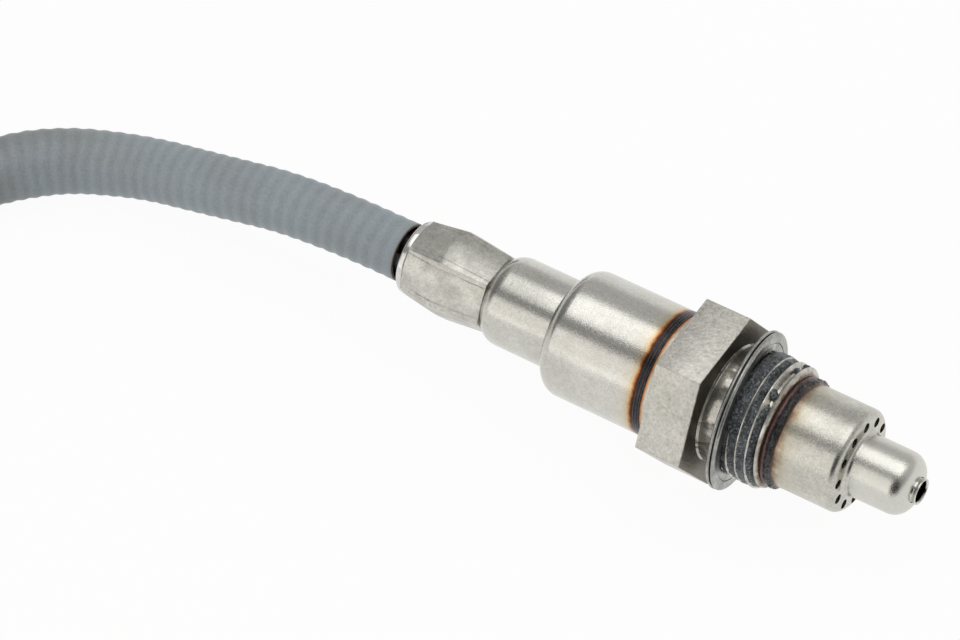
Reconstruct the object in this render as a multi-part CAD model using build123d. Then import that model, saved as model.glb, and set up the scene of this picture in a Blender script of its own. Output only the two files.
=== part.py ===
from build123d import *
import math
import os

# Exhaust oxygen sensor with its own lead, in millimetres.
# X runs along the thread's axis towards the tip, Z is up, and the origin lies on
# that axis in the plane where the gasket's front face seats.

# Clearances between pieces that nest, and between wires and what they run through
nest_gap = 0.05
wire_gap = 0.02
end_gap = 0.3

# Gasket and neck
gasket_thickness = 1.75
gasket_width = 2.8
gasket_neck_gap = 0.2
gasket_edge_radius = 0.55
gasket_inner_round = 0.65
gasket_fold_width = 0.3
gasket_fold_depth = 1.2
neck_diameter = 16.8
neck_show = 1.25

# Thread wall, lead-in and the collar that the front weld sits against
thread_diameter = 18.0
thread_length = 5.2
lead_in_length = 1.4
front_collar_diameter = 15.8
front_collar_length = 0.3
front_spigot_length = 3.1

# Hexagon and rear collar
hex_across_flats = 22.0
hex_length = 6.95
rear_collar_diameter = 18.4
rear_collar_length = 1.95
rear_spigot_length = 4.1
rear_cup_diameter = 14.4
rear_cup_length = 4.3
cup_lip_length = 0.7
cup_lip_round = 0.6
cup_lip_diameter = 10.0

# Housing bore and the sealing package in it
front_bore_diameter = 8.4
package_bore_diameter = 11.2
package_shoulder_x = -2.0
front_ceramic_length = 4.45
talc_length = 4.5
rear_ceramic_nose_diameter = 9.2
rear_ceramic_nose_length = 1.6

# Sensing element, a flat ceramic strip
element_width = 4.2
element_thickness = 1.3
element_front_x = 21.0
element_length = 54.5
element_tip_chamfer = 0.4

# Outer protection tube
outer_tube_diameter = 14.84
outer_tube_wall = 0.4
outer_shoulder_x = 17.35
outer_shoulder_radius = 1.2
tip_tube_diameter = 8.92
tip_root_radius = 1.0
tip_dome_radius = 2.55
tip_face_x = 26.0
gas_hole_diameter = 1.4
gas_hole_count = 12
gas_hole_ring_radius = 5.87
gas_hole_phase = 78.3
front_bead_diameter = 15.8
front_bead_width = 1.2
front_bead_edge = 0.2

# Inner protection tube
inner_tube_wall = 0.35
inner_skirt_wall = 0.42
inner_skirt_length = 4.0
inner_cone_length = 2.0
inner_tube_diameter = 7.0
inner_dome_radius = 2.0
inner_hole_diameter = 0.9
inner_hole_count = 8
nozzle_diameter = 3.6
nozzle_wall = 0.28
nozzle_stand_out = 1.35

# Protective sleeve: barrel, middle and crimp
sleeve_wall = 0.5
barrel_diameter = 18.3
barrel_length = 17.1
barrel_shoulder_flat = 0.09
rear_weld_width = 1.2
rear_weld_depth = 0.14
middle_diameter = 12.92
middle_length = 11.3
middle_shoulder_radius = 3.0
middle_root_radius = 0.7
crimp_length = 12.9
crimp_overlap = 0.7
crimp_front_ridge_diameter = 11.9
crimp_belly_diameter = 12.3
crimp_rear_ridge_diameter = 11.4
crimp_front_flat = 5.42
crimp_belly_flat = 6.22
crimp_rear_flat = 5.46
crimp_belly_place = 7.2
rim_length = 1.2
rim_diameter = 10.74
rim_mouth_diameter = 9.2
rim_edge_radius = 0.45

# Contact holder, its clip and the spring contacts
holder_gap = 0.36
holder_slot_width = 5.0
holder_slot_height = 2.06
holder_split = 0.06
clip_wall = 0.45
clip_length = 5.0
clip_setback = 0.5
clip_opening = 3.0
contact_width = 0.9
contact_thickness = 0.3
contact_pitch = 1.4
contact_setback = 2.0
contact_rear_out = 0.5
contact_bend_length = 1.6
barrel_crimp_diameter = 2.0
barrel_crimp_length = 3.0

# Wires and grommet
wire_diameter = 1.8
wire_ring_radius = 2.4
wire_names = ["wire_black", "wire_grey", "wire_white", "wire_yellow", "wire_red"]
wire_first_angle = 90.0
wire_run_in_conduit = 7.7
grommet_setback = 0.8

# Conduit over the wires
conduit_diameter = 8.5
conduit_bore_diameter = 7.1
conduit_bore_depth = 8.0
conduit_route = [
    (-56.0, 0.0, 0.0),
    (-71.0, 0.0, 0.0),
    (-87.0, -0.6, -3.3),
    (-102.0, -2.8, -6.3),
    (-116.0, -8.6, -7.15),
    (-129.5, -19.5, -7.15),
    (-149.0, -26.5, -7.15),
    (-188.0, -26.5, -7.15),
    (-212.3, -8.9, -7.15),
    (-221.6, 19.6, -7.15),
    (-212.3, 48.1, -7.15),
    (-188.0, 65.0, -7.15),
    (-160.0, 67.0, -3.4),
    (-140.0, 67.0, -3.4),
]

# Connector at the lead's far end
boot_wall = 1.25
boot_length = 18.0
boot_on_conduit = 9.0
boot_tip_wall = 1.1
neck_tube_diameter = 10.0
neck_tube_bore_diameter = 7.2
cover_width = 21.0
cover_height = 13.0
cover_wall = 1.6
cover_length = 9.0
cover_corner_radius = 3.0
plug_width = 23.0
plug_height = 16.0
plug_corner_radius = 3.0
plug_length = 31.0
plug_wall = 1.7
socket_depth = 15.0
pin_wall = 3.0
pin_pitch = 3.5
pin_count = 5
pin_width = 1.5
pin_thickness = 0.8
pin_reach = 8.0
pin_tip_chamfer = 0.25
pin_root_length = 0.5
terminal_diameter = 2.1
terminal_length = 4.0
seal_length = 5.0
seal_bore_diameter = 3.0
lock_thickness = 2.2
lock_side_gap = 2.9
lock_corner_radius = 1.0
socket_seal_thickness = 1.0
socket_seal_length = 3.2
latch_width = 7.0
latch_length = 3.2
latch_height = 1.8
latch_setback = 6.0
rail_width = 1.4
rail_height = 1.0
rail_length = 12.0
grip_rib_count = 4
grip_rib_pitch = 2.2
grip_rib_width = 0.9
grip_rib_height = 0.5

# Diameters that follow from what the piece fits
gasket_inner_diameter = neck_diameter + 2 * gasket_neck_gap
gasket_outer_diameter = gasket_inner_diameter + 2 * gasket_width
front_spigot_diameter = outer_tube_diameter - 2 * (outer_tube_wall + 2 * nest_gap + inner_skirt_wall)
holder_diameter = middle_diameter - 2 * (sleeve_wall + holder_gap)
barrel_shoulder_radius = (barrel_diameter - middle_diameter) / 2 - barrel_shoulder_flat
boot_diameter = neck_tube_diameter + 2 * (nest_gap + boot_wall)

# Places along X that follow from the lengths above
hex_front_x = -(gasket_thickness + neck_show)
hex_rear_x = hex_front_x - hex_length
collar_rear_x = hex_rear_x - rear_collar_length
spigot_rear_x = collar_rear_x - rear_spigot_length
cup_rear_x = spigot_rear_x - rear_cup_length
collar_front_x = thread_length + lead_in_length + front_collar_length
spigot_front_x = collar_front_x + front_spigot_length
talc_front_x = package_shoulder_x - front_ceramic_length - nest_gap
rear_ceramic_front_x = talc_front_x - talc_length - nest_gap
package_rear_x = cup_rear_x + cup_lip_length
nose_rear_x = cup_rear_x - rear_ceramic_nose_length
holder_front_x = nose_rear_x - end_gap
barrel_rear_x = collar_rear_x - barrel_length
middle_rear_x = barrel_rear_x - middle_length
crimp_front_x = middle_rear_x + crimp_overlap
crimp_rear_x = crimp_front_x - crimp_length
belly_x = crimp_front_x - crimp_belly_place
rim_rear_x = crimp_rear_x - rim_length
wire_front_x = crimp_front_x
crimp_barrel_front_x = wire_front_x + barrel_crimp_length
contact_rear_x = crimp_barrel_front_x + contact_bend_length
holder_rear_x = contact_rear_x + contact_rear_out
conduit_front_x = conduit_route[0][0]
wire_rear_x = conduit_front_x - wire_run_in_conduit


def across(x):
    """A plane square to the sensor's axis, with its own x along +Y and its y along +Z."""
    return Plane(origin=(x, 0, 0), x_dir=(0, 1, 0), z_dir=(1, 0, 0))


def turned(outline):
    """Turn a closed outline of (x, radius) or (x, radius, corner radius) about the X axis."""
    corners = [point[:2] for point in outline]
    rounds = [point[2] if len(point) == 3 else 0 for point in outline]
    edge = FilletPolyline(*corners, radius=rounds, close=True) if any(rounds) else Polyline(*corners, close=True)
    return revolve(make_face(edge), Axis.X)


def rod(x_low, x_high, radius, y=0.0, z=0.0):
    """A round bar along X."""
    disc = Plane(origin=(x_low, y, z), x_dir=(0, 1, 0), z_dir=(1, 0, 0)) * Circle(radius)
    return extrude(disc, x_high - x_low)


def bar(x_low, x_high, width, height, y=0.0, z=0.0):
    """A square-edged bar along X."""
    size = Box(x_high - x_low, width, height)
    return Pos((x_low + x_high) / 2, y, z) * size


def ring_place(index, count, radius, first_angle):
    """The y and z of one of several places spaced evenly on a circle."""
    angle = math.radians(first_angle + 360.0 * index / count)
    return radius * math.cos(angle), radius * math.sin(angle)


def hexagon_frustum(x_a, flat_a, x_b, flat_b):
    """A solid with six flats whose distance from the axis changes along X."""
    ends = [across(x) * RegularPolygon(flat, 6, major_radius=False) for x, flat in ((x_a, flat_a), (x_b, flat_b))]
    return loft(ends)


def hex_housing():
    """Hexagon, neck, plain thread wall, collars and the cup for the sealing package."""
    thread_radius = thread_diameter / 2
    collar_radius = front_collar_diameter / 2
    neck_radius = neck_diameter / 2
    spigot_radius = barrel_diameter / 2 - sleeve_wall - nest_gap
    front = turned([
        (hex_front_x, 0),
        (spigot_front_x, 0),
        (spigot_front_x, front_spigot_diameter / 2),
        (collar_front_x, front_spigot_diameter / 2),
        (collar_front_x, collar_radius),
        (collar_front_x - front_collar_length, collar_radius),
        (thread_length, thread_radius),
        (0, thread_radius),
        (0, neck_radius),
        (hex_front_x, neck_radius),
    ])
    rear = turned([
        (hex_rear_x, 0),
        (hex_rear_x, rear_collar_diameter / 2),
        (collar_rear_x, rear_collar_diameter / 2),
        (collar_rear_x, spigot_radius),
        (spigot_rear_x, spigot_radius),
        (spigot_rear_x, rear_cup_diameter / 2),
        (cup_rear_x, rear_cup_diameter / 2, cup_lip_round),
        (cup_rear_x, 0),
    ])
    nut = extrude(across(hex_rear_x) * RegularPolygon(hex_across_flats / 2, 6, major_radius=False), hex_length)
    bore = turned([
        (spigot_front_x, 0),
        (spigot_front_x, front_bore_diameter / 2),
        (package_shoulder_x, front_bore_diameter / 2),
        (package_shoulder_x, package_bore_diameter / 2),
        (package_rear_x, package_bore_diameter / 2),
        (package_rear_x, cup_lip_diameter / 2),
        (cup_rear_x, cup_lip_diameter / 2),
        (cup_rear_x, 0),
    ])
    return front + nut + rear - bore


def seal_ring():
    """Folded sheet-metal gasket, held on the neck by the thread."""
    inner = gasket_inner_diameter / 2
    outer = gasket_outer_diameter / 2
    ring = turned([
        (-gasket_thickness, inner),
        (-gasket_thickness, outer, gasket_edge_radius),
        (0, outer, gasket_edge_radius),
        (0, inner, gasket_inner_round),
    ])
    middle = -gasket_thickness / 2
    fold = turned([
        (middle - gasket_fold_width / 2, outer - gasket_fold_depth),
        (middle - gasket_fold_width / 2, outer + 1),
        (middle + gasket_fold_width / 2, outer + 1),
        (middle + gasket_fold_width / 2, outer - gasket_fold_depth),
    ])
    return ring - fold


def outer_protection_tube():
    """Drawn cup with a shoulder, a ring of gas holes, a domed tip and its weld bead at the back."""
    outside = outer_tube_diameter / 2
    inside = outside - outer_tube_wall
    tip_outside = tip_tube_diameter / 2
    tip_inside = tip_outside - outer_tube_wall
    bead = front_bead_diameter / 2
    mouth = nozzle_diameter / 2 + nest_gap
    shoulder_inside_x = outer_shoulder_x - outer_tube_wall
    face_inside_x = tip_face_x - outer_tube_wall
    bead_front_x = collar_front_x + front_bead_width
    tube = turned([
        (collar_front_x, inside),
        (collar_front_x, bead - front_bead_edge),
        (collar_front_x + front_bead_edge, bead),
        (bead_front_x - front_bead_edge, bead),
        (bead_front_x, outside),
        (outer_shoulder_x, outside, outer_shoulder_radius),
        (outer_shoulder_x, tip_outside, tip_root_radius),
        (tip_face_x, tip_outside, tip_dome_radius),
        (tip_face_x, mouth),
        (face_inside_x, mouth),
        (face_inside_x, tip_inside, tip_dome_radius - outer_tube_wall),
        (shoulder_inside_x, tip_inside, tip_root_radius + outer_tube_wall),
        (shoulder_inside_x, inside, outer_shoulder_radius - outer_tube_wall),
    ])
    for index in range(gas_hole_count):
        y, z = ring_place(index, gas_hole_count, gas_hole_ring_radius, 180.0 - gas_hole_phase)
        tube -= rod(shoulder_inside_x - 1, outer_shoulder_x + 1, gas_hole_diameter / 2, y, z)
    return tube


def inner_protection_tube():
    """Inner cup on the housing's spigot, whose nozzle stands out through the outer tube."""
    skirt_outside = outer_tube_diameter / 2 - outer_tube_wall - nest_gap
    skirt_inside = front_spigot_diameter / 2 + nest_gap
    skirt_rear_x = collar_front_x + nest_gap
    skirt_front_x = skirt_rear_x + inner_skirt_length
    cone_front_x = skirt_front_x + inner_cone_length
    outside = inner_tube_diameter / 2
    inside = outside - inner_tube_wall
    nozzle = nozzle_diameter / 2
    bore = nozzle - nozzle_wall
    dome_x = tip_face_x - outer_tube_wall - end_gap
    dome_inside_x = dome_x - inner_tube_wall
    nozzle_x = tip_face_x + nozzle_stand_out
    tube = turned([
        (skirt_rear_x, skirt_inside),
        (skirt_rear_x, skirt_outside),
        (skirt_front_x, skirt_outside),
        (cone_front_x, outside),
        (dome_x, outside, inner_dome_radius - inner_tube_wall),
        (dome_x, nozzle),
        (nozzle_x, nozzle),
        (nozzle_x, bore),
        (dome_inside_x, bore),
        (dome_inside_x, inside, inner_dome_radius - 2 * inner_tube_wall),
        (cone_front_x - inner_tube_wall, inside),
        (skirt_front_x - inner_tube_wall, skirt_inside),
    ])
    hole_x = dome_x - 2 * inner_dome_radius
    for index in range(inner_hole_count):
        hole = Pos(hole_x, 0, 0) * Rot(90 + 360 * index / inner_hole_count, 0, 0) * Cylinder(
            inner_hole_diameter / 2, inner_tube_diameter, align=(Align.CENTER, Align.CENTER, Align.MIN))
        tube -= hole
    return tube


def slot_through(part, x_low, x_high):
    """Cut the sensing element's slot through a piece of the package."""
    return part - bar(x_low - 1, x_high + 1, element_width + 2 * nest_gap, element_thickness + 2 * nest_gap)


def sensor_element():
    """Flat ceramic strip with a chamfered tip."""
    strip = bar(element_front_x - element_length, element_front_x, element_width, element_thickness)
    tip_edges = strip.faces().sort_by(Axis.X)[-1].edges()
    return chamfer(tip_edges, element_tip_chamfer)


def front_ceramic():
    radius = package_bore_diameter / 2 - nest_gap
    x_high = package_shoulder_x - nest_gap
    x_low = talc_front_x + nest_gap
    return slot_through(rod(x_low, x_high, radius), x_low, x_high)


def talc_packing():
    radius = package_bore_diameter / 2 - nest_gap
    x_low = talc_front_x - talc_length
    return slot_through(rod(x_low, talc_front_x, radius), x_low, talc_front_x)


def rear_ceramic():
    radius = package_bore_diameter / 2 - nest_gap
    body = turned([
        (rear_ceramic_front_x, 0),
        (rear_ceramic_front_x, radius),
        (package_rear_x + nest_gap, radius),
        (package_rear_x + nest_gap, rear_ceramic_nose_diameter / 2),
        (nose_rear_x, rear_ceramic_nose_diameter / 2),
        (nose_rear_x, 0),
    ])
    return slot_through(body, nose_rear_x, rear_ceramic_front_x)


def contact_holder(side):
    """One half of the ceramic holder that presses the contacts on the element; side is 1 or -1."""
    whole = rod(holder_rear_x, holder_front_x, holder_diameter / 2)
    half = whole & bar(holder_rear_x, holder_front_x, holder_diameter, holder_diameter,
                       z=side * (holder_diameter + holder_split) / 2)
    return half - bar(holder_rear_x - 1, holder_front_x + 1, holder_slot_width, holder_slot_height)


def holder_clip():
    """Open spring ring round the two holder halves."""
    inside = holder_diameter / 2 + nest_gap
    x_high = holder_front_x - clip_setback
    x_low = x_high - clip_length
    ring = rod(x_low, x_high, inside + clip_wall) - rod(x_low - 1, x_high + 1, inside)
    return ring - bar(x_low - 1, x_high + 1, clip_opening, holder_diameter, z=-holder_diameter / 2)


def wire_place(index):
    return ring_place(index, len(wire_names), wire_ring_radius, wire_first_angle)


def contact_spring(index):
    """Flat spring on the element, bent out to the wire's place and ending in a crimp barrel."""
    y_wire, z_wire = wire_place(index)
    upper = [place for place in range(len(wire_names)) if wire_place(place)[1] > 0]
    row = upper if z_wire > 0 else [place for place in range(len(wire_names)) if place not in upper]
    row.sort(key=lambda place: wire_place(place)[0])
    y = (row.index(index) - (len(row) - 1) / 2) * contact_pitch
    z = math.copysign(element_thickness / 2 + contact_thickness / 2, z_wire)
    blade = bar(contact_rear_x, holder_front_x - contact_setback, contact_width, contact_thickness, y, z)
    wire_radius = wire_diameter / 2
    blade_end = Plane(origin=(contact_rear_x, y, z), x_dir=(0, 1, 0), z_dir=(1, 0, 0))
    barrel_end = Plane(origin=(crimp_barrel_front_x, y_wire, z_wire), x_dir=(0, 1, 0), z_dir=(1, 0, 0))
    bend = loft([
        barrel_end * Rectangle(contact_width, wire_radius),
        blade_end * Rectangle(contact_width, contact_thickness),
    ])
    barrel = rod(wire_front_x, crimp_barrel_front_x, barrel_crimp_diameter / 2, y_wire, z_wire)
    return blade + bend + barrel


def protective_sleeve():
    """Stepped sleeve welded to the housing, with six crimp flats and a rolled rim at the back."""
    barrel = barrel_diameter / 2
    middle = middle_diameter / 2
    groove = barrel - rear_weld_depth
    weld_rear_x = collar_rear_x - rear_weld_width
    weld_quarter = rear_weld_width / 4
    ridge_rear_x = crimp_front_x - middle_shoulder_radius
    outside = turned([
        (collar_rear_x, 0),
        (collar_rear_x, barrel),
        (collar_rear_x - weld_quarter / 2, groove),
        (collar_rear_x - 1.5 * weld_quarter, barrel - rear_weld_depth / 4),
        (weld_rear_x + 1.5 * weld_quarter, barrel - rear_weld_depth / 4),
        (weld_rear_x + weld_quarter / 2, groove),
        (weld_rear_x, barrel),
        (barrel_rear_x, barrel, barrel_shoulder_radius),
        (barrel_rear_x, middle, middle_root_radius),
        (middle_rear_x, middle, middle_shoulder_radius),
        (middle_rear_x, 0),
    ])
    crimp = turned([
        (middle_rear_x + middle_shoulder_radius, 0),
        (middle_rear_x + middle_shoulder_radius, crimp_front_ridge_diameter / 2),
        (crimp_front_x, crimp_front_ridge_diameter / 2),
        (belly_x, crimp_belly_diameter / 2),
        (crimp_rear_x, crimp_rear_ridge_diameter / 2),
        (crimp_rear_x, 0),
    ])
    flats = hexagon_frustum(crimp_front_x, crimp_front_flat, belly_x, crimp_belly_flat)
    flats += hexagon_frustum(belly_x, crimp_belly_flat, crimp_rear_x, crimp_rear_flat)
    shaving = rod(crimp_rear_x, crimp_front_x, middle) - flats
    rim = turned([
        (crimp_rear_x, 0),
        (crimp_rear_x, rim_diameter / 2),
        (rim_rear_x, rim_diameter / 2, rim_edge_radius),
        (rim_rear_x, 0),
    ])
    return outside + (crimp - shaving) + rim - sleeve_cavity()


def sleeve_cavity():
    """The space inside the protective sleeve."""
    barrel = barrel_diameter / 2 - sleeve_wall
    middle = middle_diameter / 2 - sleeve_wall
    step_x = barrel_rear_x + sleeve_wall
    middle_end_x = middle_rear_x + middle_shoulder_radius / 2 + sleeve_wall
    return turned([
        (collar_rear_x + 1, 0),
        (collar_rear_x + 1, barrel),
        (step_x, barrel, barrel_shoulder_radius - sleeve_wall),
        (step_x, middle, middle_root_radius + sleeve_wall),
        (middle_end_x, middle),
        (crimp_front_x, crimp_front_flat - sleeve_wall),
        (belly_x, crimp_belly_flat - sleeve_wall),
        (crimp_rear_x, crimp_rear_flat - sleeve_wall),
        (crimp_rear_x, rim_mouth_diameter / 2),
        (rim_rear_x - 1, rim_mouth_diameter / 2),
        (rim_rear_x - 1, 0),
    ])


def wire_grommet():
    """Rubber plug under the crimp, with one hole for each wire."""
    front_x = crimp_front_x - grommet_setback
    squeeze = sleeve_wall + nest_gap
    slope = (crimp_belly_flat - crimp_front_flat) / crimp_belly_place
    plug = turned([
        (front_x, 0),
        (front_x, crimp_front_flat + slope * grommet_setback - squeeze),
        (belly_x, crimp_belly_flat - squeeze),
        (crimp_rear_x + nest_gap, crimp_rear_flat - squeeze),
        (crimp_rear_x + nest_gap, 0),
    ])
    for index in range(len(wire_names)):
        y, z = wire_place(index)
        plug -= rod(crimp_rear_x - 1, front_x + 1, wire_diameter / 2 + wire_gap, y, z)
    return plug


def wire(index):
    """One insulated wire from its crimp barrel through the grommet into the conduit."""
    y, z = wire_place(index)
    return rod(wire_rear_x, wire_front_x, wire_diameter / 2, y, z)


def bend_radii(points):
    """The largest arc that each corner's two runs allow, at 0.45 of the shorter run."""
    radii = []
    for before, corner, after in zip(points, points[1:], points[2:]):
        run_in = Vector(*corner) - Vector(*before)
        run_out = Vector(*after) - Vector(*corner)
        half_turn = math.radians(run_in.get_angle(run_out)) / 2
        radii.append(0.45 * min(run_in.length, run_out.length) / math.tan(half_turn))
    return radii


def conduit():
    """Plain tube along the lead's route, bored at both ends where the wires run in."""
    radii = bend_radii(conduit_route)
    path = FilletPolyline(*conduit_route, radius=radii)
    start = Plane(origin=path @ 0, z_dir=path % 0)
    tube = sweep(start * Circle(conduit_diameter / 2), path=path)
    section = math.pi * (conduit_diameter / 2) ** 2
    print("conduit radii", [round(radius, 1) for radius in radii])
    print("conduit length", round(path.length, 1), "volume over section times length",
          round(tube.volume / (section * path.length), 5))
    for end, inward in ((path @ 0, path % 0), (path @ 1, (path % 1) * -1)):
        mouth = Plane(origin=end, z_dir=inward)
        tube -= extrude(mouth * Circle(conduit_bore_diameter / 2), conduit_bore_depth)
    return tube


# Places along the connector, which lies beyond the conduit's far end
lead_end_x, lead_end_y, lead_end_z = conduit_route[-1]
boot_rear_x = lead_end_x - boot_on_conduit
neck_rear_x = lead_end_x + end_gap
boot_front_x = boot_rear_x + boot_length
cover_rear_x = boot_front_x
cover_front_x = cover_rear_x + cover_length
plug_rear_x = cover_front_x
plug_front_x = plug_rear_x + plug_length
socket_floor_x = plug_front_x - socket_depth
pin_wall_rear_x = socket_floor_x - pin_wall
terminal_rear_x = pin_wall_rear_x - terminal_length
seal_front_x = plug_rear_x + seal_length


def at_lead_end(x):
    """A plane square to the connector's axis, with its own x along +Y and its y along +Z."""
    return Plane(origin=(x, lead_end_y, lead_end_z), x_dir=(0, 1, 0), z_dir=(1, 0, 0))


def rounded_bar(x_low, x_high, width, height, radius):
    """A bar along the connector's axis with rounded long edges."""
    return extrude(at_lead_end(x_low) * RectangleRounded(width, height, radius), x_high - x_low)


def lead_rod(x_low, x_high, radius, y=0.0, z=0.0):
    """A round bar along the connector's axis, offset from it by y and z."""
    return rod(x_low, x_high, radius, lead_end_y + y, lead_end_z + z)


def pin_y(index):
    return (index - (pin_count - 1) / 2) * pin_pitch


def connector_housing():
    """Rounded plug body: an open socket in front, a wall for the pins and one bore per wire seal."""
    body = rounded_bar(plug_rear_x, plug_front_x, plug_width, plug_height, plug_corner_radius)
    inner_radius = plug_corner_radius - plug_wall
    body -= rounded_bar(socket_floor_x, plug_front_x + 1, plug_width - 2 * plug_wall,
                        plug_height - 2 * plug_wall, inner_radius)
    for index in range(pin_count):
        y = pin_y(index)
        body -= lead_rod(plug_rear_x - 1, terminal_rear_x, seal_bore_diameter / 2, y)
        body -= lead_rod(terminal_rear_x, pin_wall_rear_x, terminal_diameter / 2 + nest_gap, y)
        body -= bar(pin_wall_rear_x - 1, socket_floor_x + 1, pin_width + 2 * nest_gap,
                    pin_thickness + 2 * nest_gap, lead_end_y + y, lead_end_z)
    top_z = lead_end_z + plug_height / 2
    latch_x = plug_front_x - latch_setback
    latch_side = Polyline(
        (latch_x - latch_length, top_z - plug_wall / 2),
        (latch_x - latch_length, top_z + latch_height),
        (latch_x - latch_length / 2, top_z + latch_height),
        (latch_x + latch_length / 2, top_z - plug_wall / 2),
        close=True,
    )
    latch_face = Plane(origin=(0, lead_end_y, 0), x_dir=(1, 0, 0), z_dir=(0, -1, 0)) * make_face(latch_side)
    body += extrude(latch_face, latch_width / 2, both=True)
    for side in (-1, 1):
        rail_y = lead_end_y + side * (latch_width / 2 + 1.5 * rail_width)
        body += bar(plug_front_x - rail_length, plug_front_x, rail_width, 2 * rail_height, rail_y, top_z)
        for index in range(grip_rib_count):
            rib_x = plug_rear_x + (index + 1) * grip_rib_pitch
            body += bar(rib_x, rib_x + grip_rib_width, 2 * grip_rib_height, plug_height - 2 * plug_corner_radius,
                        lead_end_y + side * plug_width / 2, lead_end_z)
    return body


def connector_pin(index):
    """Flat pin with a chamfered tip, on a round crimp barrel."""
    y = pin_y(index)
    blade = bar(pin_wall_rear_x, socket_floor_x + pin_reach, pin_width, pin_thickness, lead_end_y + y, lead_end_z)
    blade = chamfer(blade.faces().sort_by(Axis.X)[-1].edges(), pin_tip_chamfer)
    barrel = lead_rod(terminal_rear_x, pin_wall_rear_x - nest_gap, terminal_diameter / 2, y)
    root = bar(pin_wall_rear_x - pin_root_length, pin_wall_rear_x, pin_width, pin_thickness, lead_end_y + y, lead_end_z)
    return blade + root + barrel


def pin_lock():
    """Plate on the socket's floor that keeps the pins from backing out."""
    plate = rounded_bar(socket_floor_x + nest_gap, socket_floor_x + lock_thickness,
                        plug_width - 2 * plug_wall - 2 * lock_side_gap,
                        plug_height - 2 * plug_wall - 2 * lock_side_gap, lock_corner_radius)
    for index in range(pin_count):
        plate -= bar(socket_floor_x - 1, socket_floor_x + lock_thickness + 1, pin_width + 2 * nest_gap,
                     pin_thickness + 2 * nest_gap, lead_end_y + pin_y(index), lead_end_z)
    return plate


def socket_seal():
    """Rubber band lying on the socket's inner wall at its floor."""
    width = plug_width - 2 * plug_wall - 2 * nest_gap
    height = plug_height - 2 * plug_wall - 2 * nest_gap
    radius = plug_corner_radius - plug_wall - nest_gap
    front_x = socket_floor_x + socket_seal_length
    band = rounded_bar(socket_floor_x + nest_gap, front_x, width, height, radius)
    return band - rounded_bar(socket_floor_x - 1, front_x + 1, width - 2 * socket_seal_thickness,
                              height - 2 * socket_seal_thickness, radius / 3)


def wire_seal(index):
    """Small rubber bush round one wire in the plug's back."""
    y = pin_y(index)
    bush = lead_rod(plug_rear_x + nest_gap, seal_front_x, seal_bore_diameter / 2 - nest_gap / 2, y)
    return bush - lead_rod(plug_rear_x - 1, seal_front_x + 1, wire_diameter / 2 + wire_gap, y)


def rear_cover():
    """Hollow cap on the plug's back, with a neck that the conduit's boot grips."""
    shell = rounded_bar(cover_rear_x, cover_front_x - nest_gap, cover_width, cover_height, cover_corner_radius)
    shell += lead_rod(neck_rear_x, cover_rear_x, neck_tube_diameter / 2)
    shell -= rounded_bar(cover_rear_x + cover_wall, cover_front_x + 1, cover_width - 2 * cover_wall,
                         cover_height - 2 * cover_wall, cover_corner_radius - cover_wall)
    return shell - lead_rod(neck_rear_x - 1, cover_rear_x + cover_wall + 1, neck_tube_bore_diameter / 2)


def conduit_boot():
    """Tapered rubber boot over the conduit's end and the rear cover's neck."""
    grip = conduit_diameter / 2 + nest_gap
    neck = neck_tube_diameter / 2 + nest_gap
    x = lead_end_x
    boot = turned([
        (boot_rear_x, grip),
        (boot_rear_x, grip + boot_tip_wall, boot_tip_wall / 3),
        (boot_front_x - nest_gap - boot_length / 3, boot_diameter / 2),
        (boot_front_x - nest_gap, boot_diameter / 2, boot_tip_wall / 2),
        (boot_front_x - nest_gap, neck),
        (x + nest_gap, neck),
        (x + nest_gap, grip),
    ])
    return Pos(0, lead_end_y, lead_end_z) * boot


def plug_wire(index):
    """One wire from the conduit's end, spread out to its pin."""
    y_ring, z_ring = plug_wire_places[index]
    bend_start_x = cover_rear_x + cover_wall + end_gap
    bend_end_x = cover_front_x - end_gap
    y_pin = pin_y(index)
    points = [
        (lead_end_x - wire_run_in_conduit, lead_end_y + y_ring, lead_end_z + z_ring),
        (bend_start_x, lead_end_y + y_ring, lead_end_z + z_ring),
        (bend_end_x, lead_end_y + y_pin, lead_end_z),
        (terminal_rear_x - nest_gap, lead_end_y + y_pin, lead_end_z),
    ]
    path = FilletPolyline(*points, radius=wire_diameter)
    start = Plane(origin=path @ 0, z_dir=path % 0)
    return sweep(start * Circle(wire_diameter / 2), path=path)


plug_wire_places = sorted(wire_place(index) for index in range(pin_count))

# Every node of the part, by name
nodes = {
    "hex_housing": [hex_housing()],
    "seal_ring": [seal_ring()],
    "outer_protection_tube": [outer_protection_tube()],
    "inner_protection_tube": [inner_protection_tube()],
    "sensor_element": [sensor_element()],
    "front_ceramic": [front_ceramic()],
    "talc_packing": [talc_packing()],
    "rear_ceramic": [rear_ceramic()],
    "contact_holder_upper": [contact_holder(1)],
    "contact_holder_lower": [contact_holder(-1)],
    "holder_clip": [holder_clip()],
    "contact_springs": [contact_spring(index) for index in range(len(wire_names))],
    "protective_sleeve": [protective_sleeve()],
    "wire_grommet": [wire_grommet()],
    "conduit": [conduit()],
    "conduit_boot": [conduit_boot()],
    "rear_cover": [rear_cover()],
    "connector_housing": [connector_housing()],
    "connector_pins": [connector_pin(index) for index in range(pin_count)],
    "pin_lock": [pin_lock()],
    "socket_seal": [socket_seal()],
    "wire_seals": [wire_seal(index) for index in range(pin_count)],
    "plug_wires": [plug_wire(index) for index in range(pin_count)],
}
for wire_index, wire_name in enumerate(wire_names):
    nodes[wire_name] = [wire(wire_index)]

os.makedirs("parts", exist_ok=True)
for node, pieces in nodes.items():
    solids = [solid for piece in pieces for solid in piece.solids()]
    export_step(solids[0] if len(solids) == 1 else Compound(children=solids), f"parts/{node}.step")
    print(node, len(solids))
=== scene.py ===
import math

import bmesh
import bpy
from mathutils import Euler, Matrix, Vector, noise


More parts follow.
